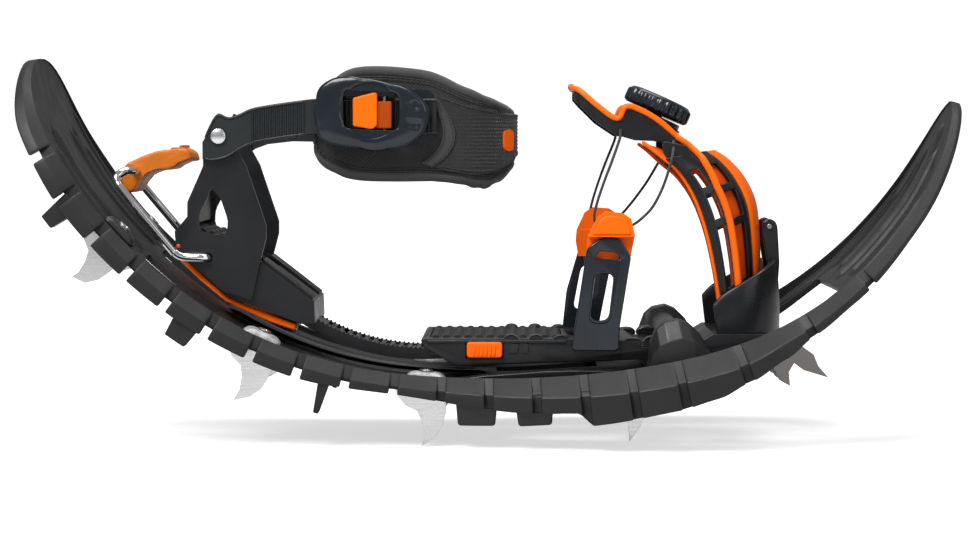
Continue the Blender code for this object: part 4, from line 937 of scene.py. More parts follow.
def size_button(name, side):
    body = f"size_button_{name[0]}"
    recast(f"size_button_{name}", ORANGE, "orange", 0.0009, 3)
    grooves = []
    for x in (-0.0085, -0.0062, -0.0039, -0.0016, 0.0007, 0.003):
        outline = [(x, 0.0492), (x + 0.0012, 0.0492), (x + 0.0012, 0.0555), (x, 0.0555)]
        grooves.append(slab(outline, side, 0.0513, 0.0523))
    edged(f"button_ribs_{name}", merge(grooves), ORANGE, body, "orange", 0.0003, 2)


def build_binding():
    platform = recast("front_platform", BLACK, "binding", 0.0008, 3)
    cut(platform, [loft([[slide_point(t, lift, y) for t, lift in SLOT_ROOM] for y in both(side, 0.0129, 0.0174)])
                   for _, side in SIDES])
    recast("forefoot_grip_pad", RUBBER, "rubber", 0.0003, 2)
    recast("front_claw", DARK_STEEL, "steel", 0.0002, 2)
    recast("tongue_hinge_pin", PIN_STEEL, "steel", 0.0004, 3)
    toe_cup()
    platform_details()
    for name, side in SIDES:
        recast(f"side_upright_{name}", NAVY, "navy_gloss", 0.0007, 3)
        recast(f"lace_cap_{name}", ORANGE, "orange", 0.0011, 3)
        spring = recast(f"button_spring_{name}", STEEL, "steel", 0.0)
        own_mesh(spring)
        slot_lip(name, side)
        cap_details(name, side)
        size_button(name, side)


# ================================================================ heel unit
SLIDE_CENTRE, SLIDE_RADIUS = (-0.038, 0.1725), 0.125
SLOT_ROOM = ((0.6, 0.0018), (5.2, 0.0018), (5.2, 0.0047), (0.6, 0.0047))   # degrees, lift: the teeth's channel


def slide_point(degrees, lift, y):
    """The point at the slider arc's angle, lifted above its bar."""
    turn, radius = math.radians(degrees), SLIDE_RADIUS - lift
    return Vector((SLIDE_CENTRE[0] + radius * math.sin(turn), y, SLIDE_CENTRE[1] - radius * math.cos(turn)))


def slider_bar():
    recast("slider_bar", BLACK, "binding", 0.0004, 2)
    for name, side in SIDES:
        teeth = []
        for k in range(26):
            a = -31.0 + 1.25 * k
            y0, y1 = both(side, 0.0135, 0.0168)
            corners = [(a, 0.0028), (a + 0.62, 0.0028), (a + 0.55, 0.004), (a + 0.07, 0.004)]
            teeth.append(loft([[slide_point(t, lift, y) for t, lift in corners] for y in (y0, y1)]))
        edged(f"slider_teeth_{name}", merge(teeth), BLACK, "heel_unit", "binding", 0.0002, 2)


def heel_bail():
    half = list(mm(((-159, -26.5, 104), (-159, -36, 104), (-159.2, -42, 104), (-160.6, -43.8, 104),
                    (-164, -44.5, 104.1), (-172.5, -44.5, 104.6), (-176.8, -44.5, 106.8), (-180, -44.5, 110.2),
                    (-205, -43.6, 140.2), (-209.5, -42.4, 146.5), (-210, -41.2, 149.5), (-207.2, -38.4, 152.2),
                    (-203.8, -34.5, 153), (-202, -29, 153), (-202, -15, 153))))
    path = catmull(half + [(x, -y, z) for x, y, z in reversed(half)], 5)
    piece("seen_heel_bail", *tube(path, 0.0024, 20), CHROME, "bail", "chrome_wire", ("heel_bail",), 60)


def bail_tab():
    """The soft pull tab folded round the bail's crossbar: a thick tongue with a dished top and rolled edges."""
    top = catmull(mm(((-170, 159, 0), (-172.2, 164, 0), (-178, 166.4, 0), (-190, 163.6, 0), (-202, 160.1, 0),
                      (-208.5, 155.6, 0), (-210.8, 149, 0), (-209.2, 143.2, 0), (-204.2, 140.8, 0),
                      (-200.8, 146.2, 0), (-197.5, 150, 0), (-190, 152.8, 0), (-180, 154.8, 0),
                      (-176.5, 158, 0))), 4)[:-1]
    centre = Vector((-0.196, 0.156))
    half = ((0.0065, 0.995), (0.013, 1.0), (0.02, 1.0), (0.0216, 0.97), (0.0224, 0.9), (0.0226, 0.8))
    rings = []
    for y, shrink in (*((-y, shrink) for y, shrink in reversed(half)), (0.0, 0.99), *half):
        ring = []
        for p in top:
            near = centre + Vector((max(min(p.x + 0.196, 0.012), -0.006), (p.x + 0.196) * 0.25))
            spot = near + (Vector((p.x, p.y)) - near) * shrink
            fold = noise.noise(Vector((spot.x * 150.0, y * 90.0, spot.y * 150.0)))
            crease = 0.5 - abs(noise.noise(Vector((spot.x * 90.0 + y * 60.0, y * 70.0, 4.0))))
            ring.append(Vector((spot.x + 0.0006 * fold, y * (1.0 + 0.02 * fold),
                                spot.y + 0.0016 * fold - 0.0012 * crease)))
        rings.append(ring)
    subdivide(piece("seen_bail_tab", *loft(rings), AMBER, "bail", "amber", ("bail_tab",), 60))
    ribs = []
    for k in range(5):
        x, z = -0.178 - 0.005 * k, 0.1668 - 0.00135 * k
        outline = [(x, z - 0.0014), (x + 0.0022, z - 0.001), (x + 0.0019, z + 0.0008), (x + 0.0003, z + 0.0005)]
        ribs.append(plate(rounded(outline, 0.0005), -0.016, 0.016))
    edged("tab_grip_ribs", merge(ribs), AMBER, "bail", "amber", 0.0004, 2)


def heel_details():
    for name, side in SIDES:
        ledges = []
        for inner in (0.015, 0.0205, 0.026, 0.0315):
            line = mm(((-128.5, 100.6), (-100, 79.2), (-99.6, 81.2), (-115, 93.2), (-128, 103.2)))
            ledges.append(slab(line, side, inner, inner + 0.003))
        edged(f"heel_ledges_{name}", merge(ledges), BLACK, "heel_unit", "binding", 0.0005, 2)
        dot = turned(((side * 0.0404, 0.0011), (side * 0.0412, 0.0011), (side * 0.0414, 0.0007)), -0.1755, 0.1105, 24)
        piece(f"heel_dot_{name}", *dot, LINER, "heel_unit", "orange")


def build_heel():
    slider_bar()
    recast("heel_plate", BLACK, "binding", 0.0008, 3)
    recast("heel_grip_pad", RUBBER, "rubber", 0.0004, 2)
    recast("heel_base_pad", ORANGE, "orange", 0.001, 3)
    recast("heel_cup", BLACK, "binding", 0.0008, 3)
    for name, _ in SIDES:
        recast(f"strap_rivet_{name}", STEEL, "steel", 0.0009, 4)
    heel_bail()
    bail_tab()
    heel_details()


# ================================================================ ankle strap
RIBS_FROM, RIBS_TO = -0.1335, -0.029
STRAP_ROOT = mm(((-161.2, 42.8, 164, 4), (-158.5, 42.8, 166.8, 8.5), (-152.9, 42.8, 172.5, 13.8),
                 (-146.5, 42.8, 171.8, 11.2), (-140, 43, 175.2, 10), (-135, 43.3, 177.5, 10.3)))


def strap_line():
    """The strap's stations, evened out: x, distance to the middle, height and half width."""
    keys = list(STRAP_ROOT)
    for x in np.linspace(RIBS_FROM, RIBS_TO, 40):
        run = x - RIBS_FROM
        keys.append((x, 0.0435 + 0.0062 * min(1.0, run / 0.033), 0.1782 + 0.0054 * min(1.0, run / 0.036) ** 0.8,
                     0.01))
    keys = np.array(keys)
    xs = np.linspace(keys[0][0], keys[-1][0], 161)
    even = np.stack([xs, *[np.interp(xs, keys[:, 0], keys[:, k]) for k in (1, 2, 3)]], axis=1)
    padded = np.vstack([even[:1]] * 2 + [even] + [even[-1:]] * 2)
    even[:, 1:] = sum(padded[k:k + len(even), 1:] for k in range(5)) / 5
    return even


def ladder_strap():
    """The ribbed strap: a flat band with rounded edges, and a row of fine saw ribs along its outer face."""
    line = strap_line()

    def at(x, index):
        return float(np.interp(x, line[:, 0], line[:, index]))

    rings = []
    soft = 0.0006
    for x, across, z, half in line:
        y = -across
        ring = [(y + 0.0011, z - half + soft), (y + 0.0011 - soft, z - half), (y - 0.0011 + soft, z - half),
                (y - 0.0011, z - half + soft), (y - 0.0011, z + half - soft), (y - 0.0011 + soft, z + half),
                (y + 0.0011 - soft, z + half), (y + 0.0011, z + half - soft)]
        rings.append([Vector((x, a, b)) for a, b in ring])
    piece("seen_ladder_strap", *loft(rings), STRAP, "ankle", "strap", ("ladder_strap",), 40)
    ribs = []
    pitch = 0.0021

    def lowered(x):
        """Room for the end of the ratchet lever, which dips towards the strap as it opens."""
        return 0.001 * min(1.0, max(0.0, (0.01 - abs(x + 0.0945)) / 0.0025))

    for k in range(int((RIBS_TO - RIBS_FROM) / pitch)):
        x = RIBS_FROM + pitch * k
        profile = ((0.0, 0.0008), (0.35, 0.002), (0.55, 0.0021), (0.75, 0.0009))
        rings = []
        for z in (-0.0084, -0.008, 0.008, 0.0084):
            lift = 1.0 if abs(z) < 0.0083 else 0.5
            ring = [Vector((x + part * pitch, 0.0008 - at(x, 1), at(x, 2) + z)) for part in (0.75, 0.0)]
            ring += [Vector((x + part * pitch, -at(x, 1) - high * lift + lowered(x), at(x, 2) + z))
                     for part, high in profile]
            rings.append(ring)
        ribs.append(loft(rings))
    piece("strap_ribs", *merge(ribs), STRAP, "ankle", "strap", (), 30)
    for z in (-1, 1):
        path = [(x, -at(x, 1) - 0.0012 + lowered(x), at(x, 2) + z * (at(x, 3) - 0.0009))
                for x in np.linspace(-0.1592, -0.0292, 90)]
        piece(f"strap_edge_{'low' if z < 0 else 'high'}", *tube(path, 0.0007, 8), STRAP, "ankle", "strap", (), 60)


PAD_PATH = mm(((-98.5, 40.5, 164, 177), (-95, 40.5, 158, 190), (-88, 40.5, 153, 203), (-72, 40.5, 148, 211),
               (-36, 40.5, 147.5, 209), (-15, 39.2, 145.5, 200.5), (-1, 32, 144, 194.5), (8, 18, 150, 190),
               (10.8, 0, 155, 188)))
PAD_STEPS = 6


def pad_curve():
    """Points round the pad: (x, y, low edge, high edge)."""
    keys = [(x, -y, low, high) for x, y, low, high in PAD_PATH]
    keys += [(x, -y, low, high) for x, y, low, high in reversed(keys[:-1])]
    spots = catmull([(x, y, low) for x, y, low, _ in keys], PAD_STEPS)
    highs = [p.z for p in catmull([(x, y, high) for x, y, _, high in keys], PAD_STEPS)]
    return [(p.x, p.y, p.z, high) for p, high in zip(spots, highs)]


def pad_frames():
    """The pad's stations with their outward direction."""
    curve = pad_curve()
    out = []
    for i, (x, y, low, high) in enumerate(curve):
        before, after = curve[max(i - 1, 0)], curve[min(i + 1, len(curve) - 1)]
        ahead = Vector((after[0] - before[0], after[1] - before[1])).normalized()
        out.append((Vector((x, y, 0)), Vector((ahead.y, -ahead.x, 0)), low, high))
    return out


def pad_profile(low, high, thick):
    """A soft cross-section as (reach, height) pairs."""
    power, half = 0.42, (high - low) / 2
    pairs = []
    for t in circle(24):
        c, s = math.cos(t), math.sin(t)
        pairs.append((math.copysign(abs(c) ** power, c) * thick,
                      (low + high) / 2 + math.copysign(abs(s) ** power, s) * half))
    return pairs


def points_of(mesh):
    points = np.empty(len(mesh.vertices) * 3)
    mesh.vertices.foreach_get("co", points)
    return points.reshape(-1, 3)


def softened(obj, size, pressure, frames, limit):
    """Remeshes obj evenly and inflates it as cloth for a moment, so its surface swells and puckers."""
    scene, looks = bpy.context.scene, list(obj.data.materials)
    scratch = new_object("scratch", obj.data.copy())
    remesh = scratch.modifiers.new("remesh", "REMESH")
    remesh.mode = "VOXEL"
    remesh.voxel_size = size
    even = evaluated(scratch)
    scratch.modifiers.clear()
    scratch.data = even
    before = points_of(even)
    cloth = scratch.modifiers.new("cloth", "CLOTH")
    settings = cloth.settings
    settings.quality = 5
    settings.mass = 0.25
    settings.tension_stiffness = settings.compression_stiffness = 12
    settings.shear_stiffness = 6
    settings.bending_stiffness = 0.4
    settings.use_pressure = True
    settings.uniform_pressure_force = pressure
    settings.shrink_min = -0.03
    settings.effector_weights.gravity = 0.0
    cloth.point_cache.frame_start = 1
    cloth.point_cache.frame_end = frames
    for frame_number in range(1, frames + 1):
        scene.frame_set(frame_number)
    result = evaluated(scratch)
    move = points_of(result) - before
    length = np.maximum(np.linalg.norm(move, axis=1, keepdims=True), 1e-9)
    after = before + move * np.minimum(1.0, limit / length)
    result.vertices.foreach_set("co", after.astype(np.float32).ravel())
    scene.frame_set(1)
    bpy.data.objects.remove(scratch)
    for look in looks:
        result.materials.append(look)
    result.shade_smooth()
    obj.data = result
    subdivide(obj)


def pad_lengths(frames):
    """How far each station lies along the pad, counted from its front middle."""
    steps = [(b[0] - a[0]).length for a, b in zip(frames, frames[1:])]
    gone = np.concatenate([[0.0], np.cumsum(steps)])
    return gone - gone[len(gone) // 2]


def pad_sheet(name, look, slot, inner, outer, start, stop, low, high, rows, columns, rib=0.0):
    """A layer sewn on the pad, from start(v) to stop(v) along it and from low(x) to high(x) in height."""
    frames = pad_frames()
    spots = np.array([(f[0].x, f[0].y, f[1].x, f[1].y) for f in frames])
    gone = pad_lengths(frames)

    def spot(u, v, reach):
        d = start(v) + (stop(v) - start(v)) * u
        x, y, nx, ny = [float(np.interp(d, gone, spots[:, k])) for k in range(4)]
        z = low(x) + (high(x) - low(x)) * v
        reach += rib * math.cos(2 * math.pi * z / RIB_PITCH)
        return Vector((x + nx * reach, y + ny * reach, z))

    us, vs = np.linspace(0, 1, columns), np.linspace(0, 1, rows)
    piece(name, *wall_grid(vs, us, lambda v, u: spot(u, v, outer), lambda v, u: spot(u, v, inner)),
          look, "ankle", slot, (), 50)
    return spot


def pad_distance(x):
    """How far from the pad's front middle, along it, the near side reaches x."""
    frames = pad_frames()
    half = len(frames) // 2 + 1
    return float(np.interp(x, [f[0].x for f in frames[:half]], pad_lengths(frames)[:half]))


RIB_PITCH = 0.0021
OVERLAY_LOW = mm(((-37.5, 157.5), (-25, 153.5), (-10, 150.8), (0, 152), (8, 157.5), (10.8, 162)))
OVERLAY_HIGH = mm(((-37.5, 199.5), (-25, 195.5), (-15, 191.4), (0, 187.2), (10.8, 185)))


def along(keys):
    """The height at x of an edge given as (x, height) keys."""
    xs, zs = zip(*keys)
    return lambda x: float(np.interp(x, xs, zs))


def ankle_pad():
    """The padded ankle band: a soft body, a bound edge, a ribbed webbing overlay and rows of stitches."""
    frames = pad_frames()
    thick = 0.0034
    rings = [[spot + out * reach + Vector((0, 0, z)) for reach, z in pad_profile(low + 0.0014, high - 0.0014, thick)]
             for spot, out, low, high in frames]
    body = piece("pad_body", *loft(rings), MESH_FABRIC, "ankle", "fabric", ("ankle_pad",), 60)
    softened(body, size=0.0045, pressure=4.0, frames=14, limit=0.002)
    for label, top in (("low", False), ("high", True)):
        edge = []
        for spot, out, low, high in frames:
            ripple = noise.noise(Vector((spot.x, spot.y, 3.0 if top else 0.0)) * 160.0)
            reach = min(max((spot.x + 0.05) / 0.04, 0.12), 1.0) * (0.4 if top else 1.0)
            z = (high - 0.0026 if top else low + 0.0028) + 0.0022 * ripple * reach
            edge.append([spot + out * (0.0042 * math.cos(t)) + Vector((0, 0, z + 0.0036 * math.sin(t)))
                         for t in circle(12)])
        subdivide(piece(f"pad_binding_{label}", *loft(edge), TAPE, "ankle", "fabric", (), 60))
        for row, drop in enumerate((0.0052, 0.0066)):
            stitch_row(f"pad_stitch_{label}_{row}", frames, drop, top, 0.0043 if row == 0 else 0.0048)
    low, high = along(OVERLAY_LOW), along(OVERLAY_HIGH)

    def rear(v, on=0.0):
        return pad_distance(-0.025 - 0.012 * abs(2 * v - 1.0) ** 2.0 + on)

    spot = pad_sheet("pad_webbing", WEBBING, "fabric", 0.004, 0.0058, rear, lambda v: -rear(v), low, high, 97, 57,
                     0.00022)
    for row, v in enumerate((0.045, 0.955)):
        path = [spot(u, v, 0.0062) for u in np.linspace(0.06, 0.94, 90)]
        piece(f"webbing_stitch_{row}", *merge(stitches(path)), THREAD, "ankle", "fabric", (), 60)
    for name, side in SIDES:
        ends = [lambda v, on=on: (rear(v, on) if side < 0 else -rear(v, on)) for on in (-0.0006, 0.0056)]
        spot = pad_sheet(f"pad_tape_{name}", TAPE, "fabric", 0.005, 0.0069, *ends, low, high, 41, 7)
        for row, u in enumerate((0.16, 0.84)):
            path = [spot(u, v, 0.007) for v in np.linspace(0.03, 0.97, 60)]
            piece(f"tape_stitch_{name}_{row}", *merge(stitches(path, 0.0024, 0.0016)), THREAD, "ankle", "fabric", (),
                  60)
    centre = pad_distance(0.0062)

    def patch_half(v):
        return 0.0054 * (1.0 - abs(2 * v - 1) ** 5) ** 0.5

    pad_sheet("pad_mark", ORANGE, "orange", 0.0054, 0.0066, lambda v: centre - patch_half(v),
              lambda v: centre + patch_half(v), lambda x: 0.164, lambda x: 0.1765, 15, 25)


THREAD_RADIUS = 0.00032


def stitches(path, pitch=0.003, length=0.0021):
    """Short thread bars along a path of points."""
    path = [Vector(p) for p in path]
    gaps = [(b - a).length for a, b in zip(path, path[1:])]
    total = sum(gaps)

    def at(d):
        for a, b, gap in zip(path, path[1:], gaps):
            if d <= gap or b is path[-1]:
                return a.lerp(b, min(d / max(gap, 1e-9), 1.0))
            d -= gap
        return path[-1]

    made = []
    for k in range(int(total / pitch)):
        a, b = at(k * pitch), at(k * pitch + length)
        made.append(tube([a, a.lerp(b, 0.5), b], THREAD_RADIUS, 6))
    return made


def stitch_row(name, frames, drop, top, reach):
    path = []
    for spot, out, low, high in frames:
        z = high - drop if top else low + drop
        path.append(spot + out * reach + Vector((0, 0, z)))
    piece(name, *merge(stitches(path)), THREAD, "ankle", "fabric", (), 60)


LEVER_OUTER = mm(((-95.8, 170), (-80, 166.5), (-47.5, 165.5), (-34.5, 174.5), (-32.2, 188.5), (-39, 196.5),
                  (-62, 204.2), (-85, 206.2), (-95.8, 199)))
LEVER_WINDOW = mm(((-80.8, 176.8), (-50, 175.5), (-48.2, 186), (-50, 197), (-80.8, 198.5)))
LEVER_CENTRE = (-0.0645, 0.1868)


def lever_reach(outline, radius):
    """The outline's distance from the lever's centre, as a function of the direction."""
    cx, cz = LEVER_CENTRE
    polar = sorted((math.atan2(z - cz, x - cx), math.hypot(x - cx, z - cz)) for x, z in rounded(outline, radius, 8))
    turns, sizes = zip(*polar)
    return lambda turn: float(np.interp(turn, turns, sizes, period=2 * math.pi))


def lever_face():
    """The lever's raised face: highest at the window's rim, falling away to the outer edge."""
    outer, window = lever_reach(LEVER_OUTER, 0.009), lever_reach(LEVER_WINDOW, 0.004)
    cx, cz = LEVER_CENTRE
    rings = []
    for k in range(160):
        turn = -math.pi + 2 * math.pi * k / 160
        a, b = window(turn), outer(turn)
        ring = []
        for share, y in ((-0.02, -0.059), (-0.02, -0.0605), (0.03, -0.0611), (0.12, -0.0613), (0.5, -0.0611),
                         (0.82, -0.0606), (0.95, -0.0599), (1.0, -0.059), (1.0, -0.058), (0.6, -0.0576)):
            r = a + (b - a) * share
            ring.append(Vector((cx + r * math.cos(turn), y, cz + r * math.sin(turn))))
        rings.append(ring)
    face = piece("lever_face", *loft(rings, closed=True), NAVY, "ratchet", "navy_gloss", (), 40)
    cut(face, [turned(((-0.064, 0.009), (-0.0598, 0.0014)), -0.0404, z, 32) for z in (0.1898, 0.179)])


def buckle_details():
    recast("buckle_base", NAVY, "navy_gloss", 0.0005, 2)
    recast("ratchet_lever", NAVY, "navy_gloss", 0.0006, 2)
    lever_face()
    recast("ratchet_pin", PIN_STEEL, "steel", 0.0003, 2)
    recast("release_pin", PIN_STEEL, "steel", 0.0003, 2)
    raised = rounded(mm(((-75.2, 178.2), (-64.5, 176.4), (-61.7, 178.5), (-61.7, 196.6), (-64, 196.8),
                         (-75.2, 193.8))), 0.001, 4)
    edged("seen_release_lever", plate(raised, -0.0606, -0.0562), ORANGE, "release", "orange", 0.0013, 3,
          ("release_lever",))
    # The recessed foot is the same orange plastic, darkened with painted shade.
    deep = rounded(mm(((-62.2, 176.8), (-53.7, 176.8), (-53.7, 192), (-62.2, 192))), 0.001, 4)
    edged("release_foot", plate(deep, -0.0586, -0.0562), ORANGE_PAINTED_SHADE, "release", "orange", 0.0007, 3)


def build_ankle():
    ladder_strap()
    recast("far_strap", STRAP, "strap", 0.0005, 3)
    ankle_pad()
    buckle_details()


# ================================================================ tongue and lace dial
TONGUE_STATIONS = mm((((132.5, 76), (156, 89), (137.5, 71.5)), ((128.3, 101), (155.2, 113), (133.5, 96)),
                      ((123.2, 122.5), (153, 133), (128.3, 118)), ((116.5, 140), (146.5, 147.5), (121.3, 135.7)),
                      ((108, 153), (137.5, 158), (112.2, 148.8)), ((100, 160), (129, 164), (104, 156))))
LINER_STATIONS = (
    *TONGUE_STATIONS[:5],
    mm(((100, 160), (128, 161.2), (103, 156.5))),
    mm(((93.5, 165), (112, 162), (94.5, 164))),
    mm(((88, 169), (100, 165), (89, 168))),
)
TONGUE_HALF = 0.04
DIAL_CENTRE = Vector((0.095, 0.0, 0.1842))
DIAL_TILT = math.radians(24)
WINDOWS = (                                   # from and to along the tongue, from and to across it
    (0.2, 1.62, 0.45, 0.64), (1.85, 2.72, 0.45, 0.64), (3.0, 3.95, 0.45, 0.63),
    (0.3, 1.78, 0.755, 0.875), (2.02, 2.83, 0.755, 0.875), (3.1, 3.9, 0.755, 0.875),
)
CREST_HALF = 0.33                             # half width of the crest rail, as a share of the tongue


def smooth_stations(stations):
    """The stations joined by smooth curves: a function of u giving right edge, crest and left edge."""
    curves = [catmull([(s[part][0], 0.0, s[part][1]) for s in stations], 12) for part in range(3)]

    def at(u):
        out = []
        for curve in curves:
            f = min(max(u, 0.0), len(stations) - 1) * 12
            i = min(int(f), len(curve) - 2)
            p = curve[i].lerp(curve[i + 1], f - i)
            out.append(Vector((p.x, p.z)))
        return out
    return at


SHELL_AT = smooth_stations(TONGUE_STATIONS)
LINER_AT = smooth_stations(LINER_STATIONS)


def tongue_point(at, u, t, inset):
    """The tongue's surface: u along it, t across it from -1 (right) to 1 (left), inset below its face."""
    right, crest, left = at(u)
    edge = right.lerp(left, (math.sin(math.pi * t / 2) + 1) / 2)
    depth = crest - (right + left) / 2
    reach = (depth.length - inset) / depth.length
    spot = edge + depth * reach * math.cos(math.pi * t / 2)
    return Vector((spot.x, (TONGUE_HALF - inset) * math.sin(math.pi * t / 2), spot.y))


def grid_lines(low, high, count, extra):
    """Evenly spaced values with the extra ones let in, and no two close together."""
    lines = sorted({*np.linspace(low, high, count).tolist(), *extra})
    kept = [lines[0]]
    for v in lines[1:]:
        near = v - kept[-1] < (high - low) / count * 0.25
        if not near:
            kept.append(v)
        elif v in extra:
            kept[-1] = v
    return kept


def tongue_shell():
    us = grid_lines(0.0, 5.0, 61, {v for w in WINDOWS for v in w[:2]})
    ts = {v for w in WINDOWS for v in w[2:]}
    ts = grid_lines(-1.0, 1.0, 65, {*ts, *(-v for v in ts)})

    def holed(u, t):
        return any(u0 < u < u1 and t0 < abs(t) < t1 for u0, u1, t0, t1 in WINDOWS)

    def outer(u, t):
        rib = 0.0007 * max(0.0, 1 - abs(abs(t) - 0.39) / 0.05) + 0.0006 * max(0.0, 1 - abs(abs(t) - 0.9) / 0.03)
        return tongue_point(SHELL_AT, u, t, -rib)

    edged("seen_tongue_shell", wall_grid(us, ts, outer, lambda u, t: tongue_point(SHELL_AT, u, t, 0.0024), holed),
          BLACK, "tongue", "binding", 0.0006, 2, ("tongue_shell",), 40, 50)


def tongue_liner():
    us = grid_lines(0.25, 6.8, 61, {0.28, 3.95})
    ts = grid_lines(-1.0, 1.0, 49, {0.74, -0.74, 0.89, -0.89})

    def holed(u, t):
        return 0.28 < u < 3.95 and 0.74 < abs(t) < 0.89

    edged("seen_tongue_liner", wall_grid(us, ts, lambda u, t: tongue_point(LINER_AT, u, t, 0.0028),
                                         lambda u, t: tongue_point(LINER_AT, u, t, 0.0043), holed),
          LINER, "tongue", "orange", 0.0004, 2, ("tongue_liner",), 40, 50)


def tongue_rails():
    us, ts = np.linspace(0.02, 4.98, 60), np.linspace(-CREST_HALF, CREST_HALF, 25)

    def crown(u, t):
        lift = 0.0022 * (1 - abs(t / CREST_HALF) ** 6) ** 0.5 + 0.0002
        return tongue_point(SHELL_AT, u, t, -lift)

    edged("crest_rail", wall_grid(us, ts, crown, lambda u, t: tongue_point(SHELL_AT, u, t, 0.0008)),
          ORANGE, "tongue", "orange", 0.0005, 2, (), 60, 50)
    for name, side in SIDES:
        second = [(0.107, side * 0.0296, 0.1722), (0.113, side * 0.0308, 0.1682)]
        for u in np.linspace(4.8, 0.15, 60):
            t = float(np.interp(u, (3.0, 4.0, 4.55, 4.8), (0.705, 0.64, 0.59, 0.57)))
            second.append(tongue_point(SHELL_AT, u, side * t, -0.0006))
        radii = [0.0016 + 0.0004 * min(k / 8, 1.0) for k in range(len(second))]
        piece(f"side_rail_{name}", *tube(second, radii, 14, 1.25), ORANGE, "tongue", "orange", (), 60)
        edge = []
        for u in np.linspace(0.1, 6.9, 70):
            spot = tongue_point(LINER_AT, u, side, 0.003)
            middle = tongue_point(LINER_AT, u, 0.0, 0.0)
            away = Vector((spot.x - middle.x, 0, spot.z - middle.z)).normalized()
            edge.append(spot + away * 0.0008)
        piece(f"edge_line_{name}", *tube(edge, 0.0011, 10), ORANGE, "tongue", "orange", (f"tongue_rail_{name}",), 60)


PLATE_LINE = mm(((48.5, 199.5, 19), (52, 198.2, 25.5), (62, 189.5, 29.5), (73, 182.2, 31), (78, 189, 31.2),
                 (86, 187.2, 31.2), (97, 180.8, 31.2), (109, 170.4, 29.5)))


def dial_frame(x, y, z):
    """A point given about the dial's own tilted axis."""
    c, s = math.cos(DIAL_TILT), math.sin(DIAL_TILT)
    return DIAL_CENTRE + Vector((x * c + z * s, y, z * c - x * s))


def dial_round(stations, sides, lobes=0.0, every=2):
    """A round shape on the dial's axis from (height, radius) stations, with grip lobes round its side."""
    rings = []
    for z, radius in stations:
        ring = []
        for k, t in enumerate(circle(sides)):
            r = radius - lobes * (0.5 - 0.5 * math.cos(2 * math.pi * k / every))
            ring.append(dial_frame(r * math.cos(t), r * math.sin(t), z))
        rings.append(ring)
    return loft(rings)


def dial():
    recast("dial_plate", BLACK, "binding", 0.0007, 3)
    recast("dial_hub", GREY, "grey_plastic", 0.0006, 3)
    side_line = catmull([(x, half, z + 0.0004) for x, z, half in PLATE_LINE], 6)
    loop = [(p.x, -p.y, p.z) for p in reversed(side_line)]
    x, z, half = PLATE_LINE[0]
    loop += [(x - 0.001, half * v, z + 0.0006 + 0.0014 * (1 - v * v)) for v in (-0.6, -0.3, 0.0, 0.3, 0.6)]
    loop += [tuple(p) for p in side_line]
    piece("dial_trim", *tube(loop, 0.0017, 12, 0.9), ORANGE, "tongue", "orange", (), 60)
    sides, lobe = 192, 8
    knob = dial_round(mm(((2.2, 18), (2.7, 18.8), (3.4, 19.6), (4.6, 19.8), (7.2, 19.8), (9.2, 19.7),
                          (10.3, 19.2))), sides, 0.0011, lobe)
    top = dial_round(mm(((9.8, 18.8), (10.8, 18.4), (11.8, 17.2), (12.2, 15), (11.9, 12.5), (11.5, 10), (11.3, 5),
                         (11.3, 0.6))), 96)
    piece("dial_knob", *merge((knob, top)), NAVY, "dial", "navy_gloss", ("lace_dial",), 40)
    disc = dial_round(mm(((11, 6.2), (11.6, 6.2), (11.9, 5.7), (11.9, 0.4))), 48)
    piece("dial_disc", *disc, GREY, "dial", "grey_plastic", (), 40)


LACE_RADIUS = 0.0008


def lace_paths():
    """Each side's lace: from the plate down, through its cap and up to the plate again."""
    near = mm(((74.9, 33, 176), (74.5, 35, 171.5), (70, 41, 159), (65.3, 45.5, 147), (61.2, 49, 135),
               (59.7, 50, 126.2), (63.5, 50, 120.5), (69.2, 50, 119.5), (75.5, 50, 120), (81.2, 50, 122.8),
               (86, 49.5, 126.2), (92.2, 47.8, 132.5), (97.5, 45.8, 142), (101.2, 44.6, 152), (103.6, 42.8, 160.5),
               (105, 35, 167.5), (105.2, 30, 170)))
    far = mm(((75, 33, 176), (74, 35, 170), (69, 41, 157), (64.8, 45.5, 145), (61.2, 48.5, 133), (60, 49.5, 125.2),
              (62, 50, 120.5), (65.5, 50, 119.5), (72, 50, 120.5), (78, 49.8, 125), (85, 48.8, 133), (93, 46.8, 144),
              (99, 45, 154), (102.6, 43.2, 161), (104.5, 35, 168), (104.8, 30, 170.5)))
    return {"right": [(x, -y, z) for x, y, z in near], "left": far}


def laces():
    """The laces run from the caps to the dial's plate and bend between the two bodies."""
    paths = lace_paths()
    for name, _ in SIDES:
        mesh = new_mesh(f"seen_lace_{name}", *tube(catmull(paths[name], 10), LACE_RADIUS, 10))
        mesh.materials.append(CORD)
        mesh.shade_smooth()
        obj = new_object(f"seen_lace_{name}", mesh)
        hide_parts(f"lace_{name}")
        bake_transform(obj, "binding", "tongue", Vector((0.07, 0.0, 0.13)) + SHIFT, Vector((0.088, 0.0, 0.165)) + SHIFT)


def plate_brackets():
    """The side brackets that join the dial's plate to the top of the tongue."""
    outline = rounded(mm(((98.5, 170), (112.5, 167.2), (116.5, 160), (113, 152.5), (106.2, 153.2),
                          (99, 162.2))), 0.0018, 4)
    for name, side in SIDES:
        edged(f"plate_bracket_{name}", slab(outline, side, 0.0318, 0.0372), BLACK, "tongue", "binding", 0.001, 3)


def build_tongue():
    plate_brackets()
    tongue_shell()
    tongue_liner()
    tongue_rails()
    dial()
    laces()


# ================================================================ studio
def soft_light(name, location, aim, size, power):
    data = bpy.data.lights.new(name, "AREA")
    data.shape = "RECTANGLE"
    data.size, data.size_y = size
    data.energy = power
    obj = new_object(name, data)
    obj.location = location
    obj.rotation_euler = (Vector(aim) - Vector(location)).to_track_quat("-Z", "Y").to_euler()


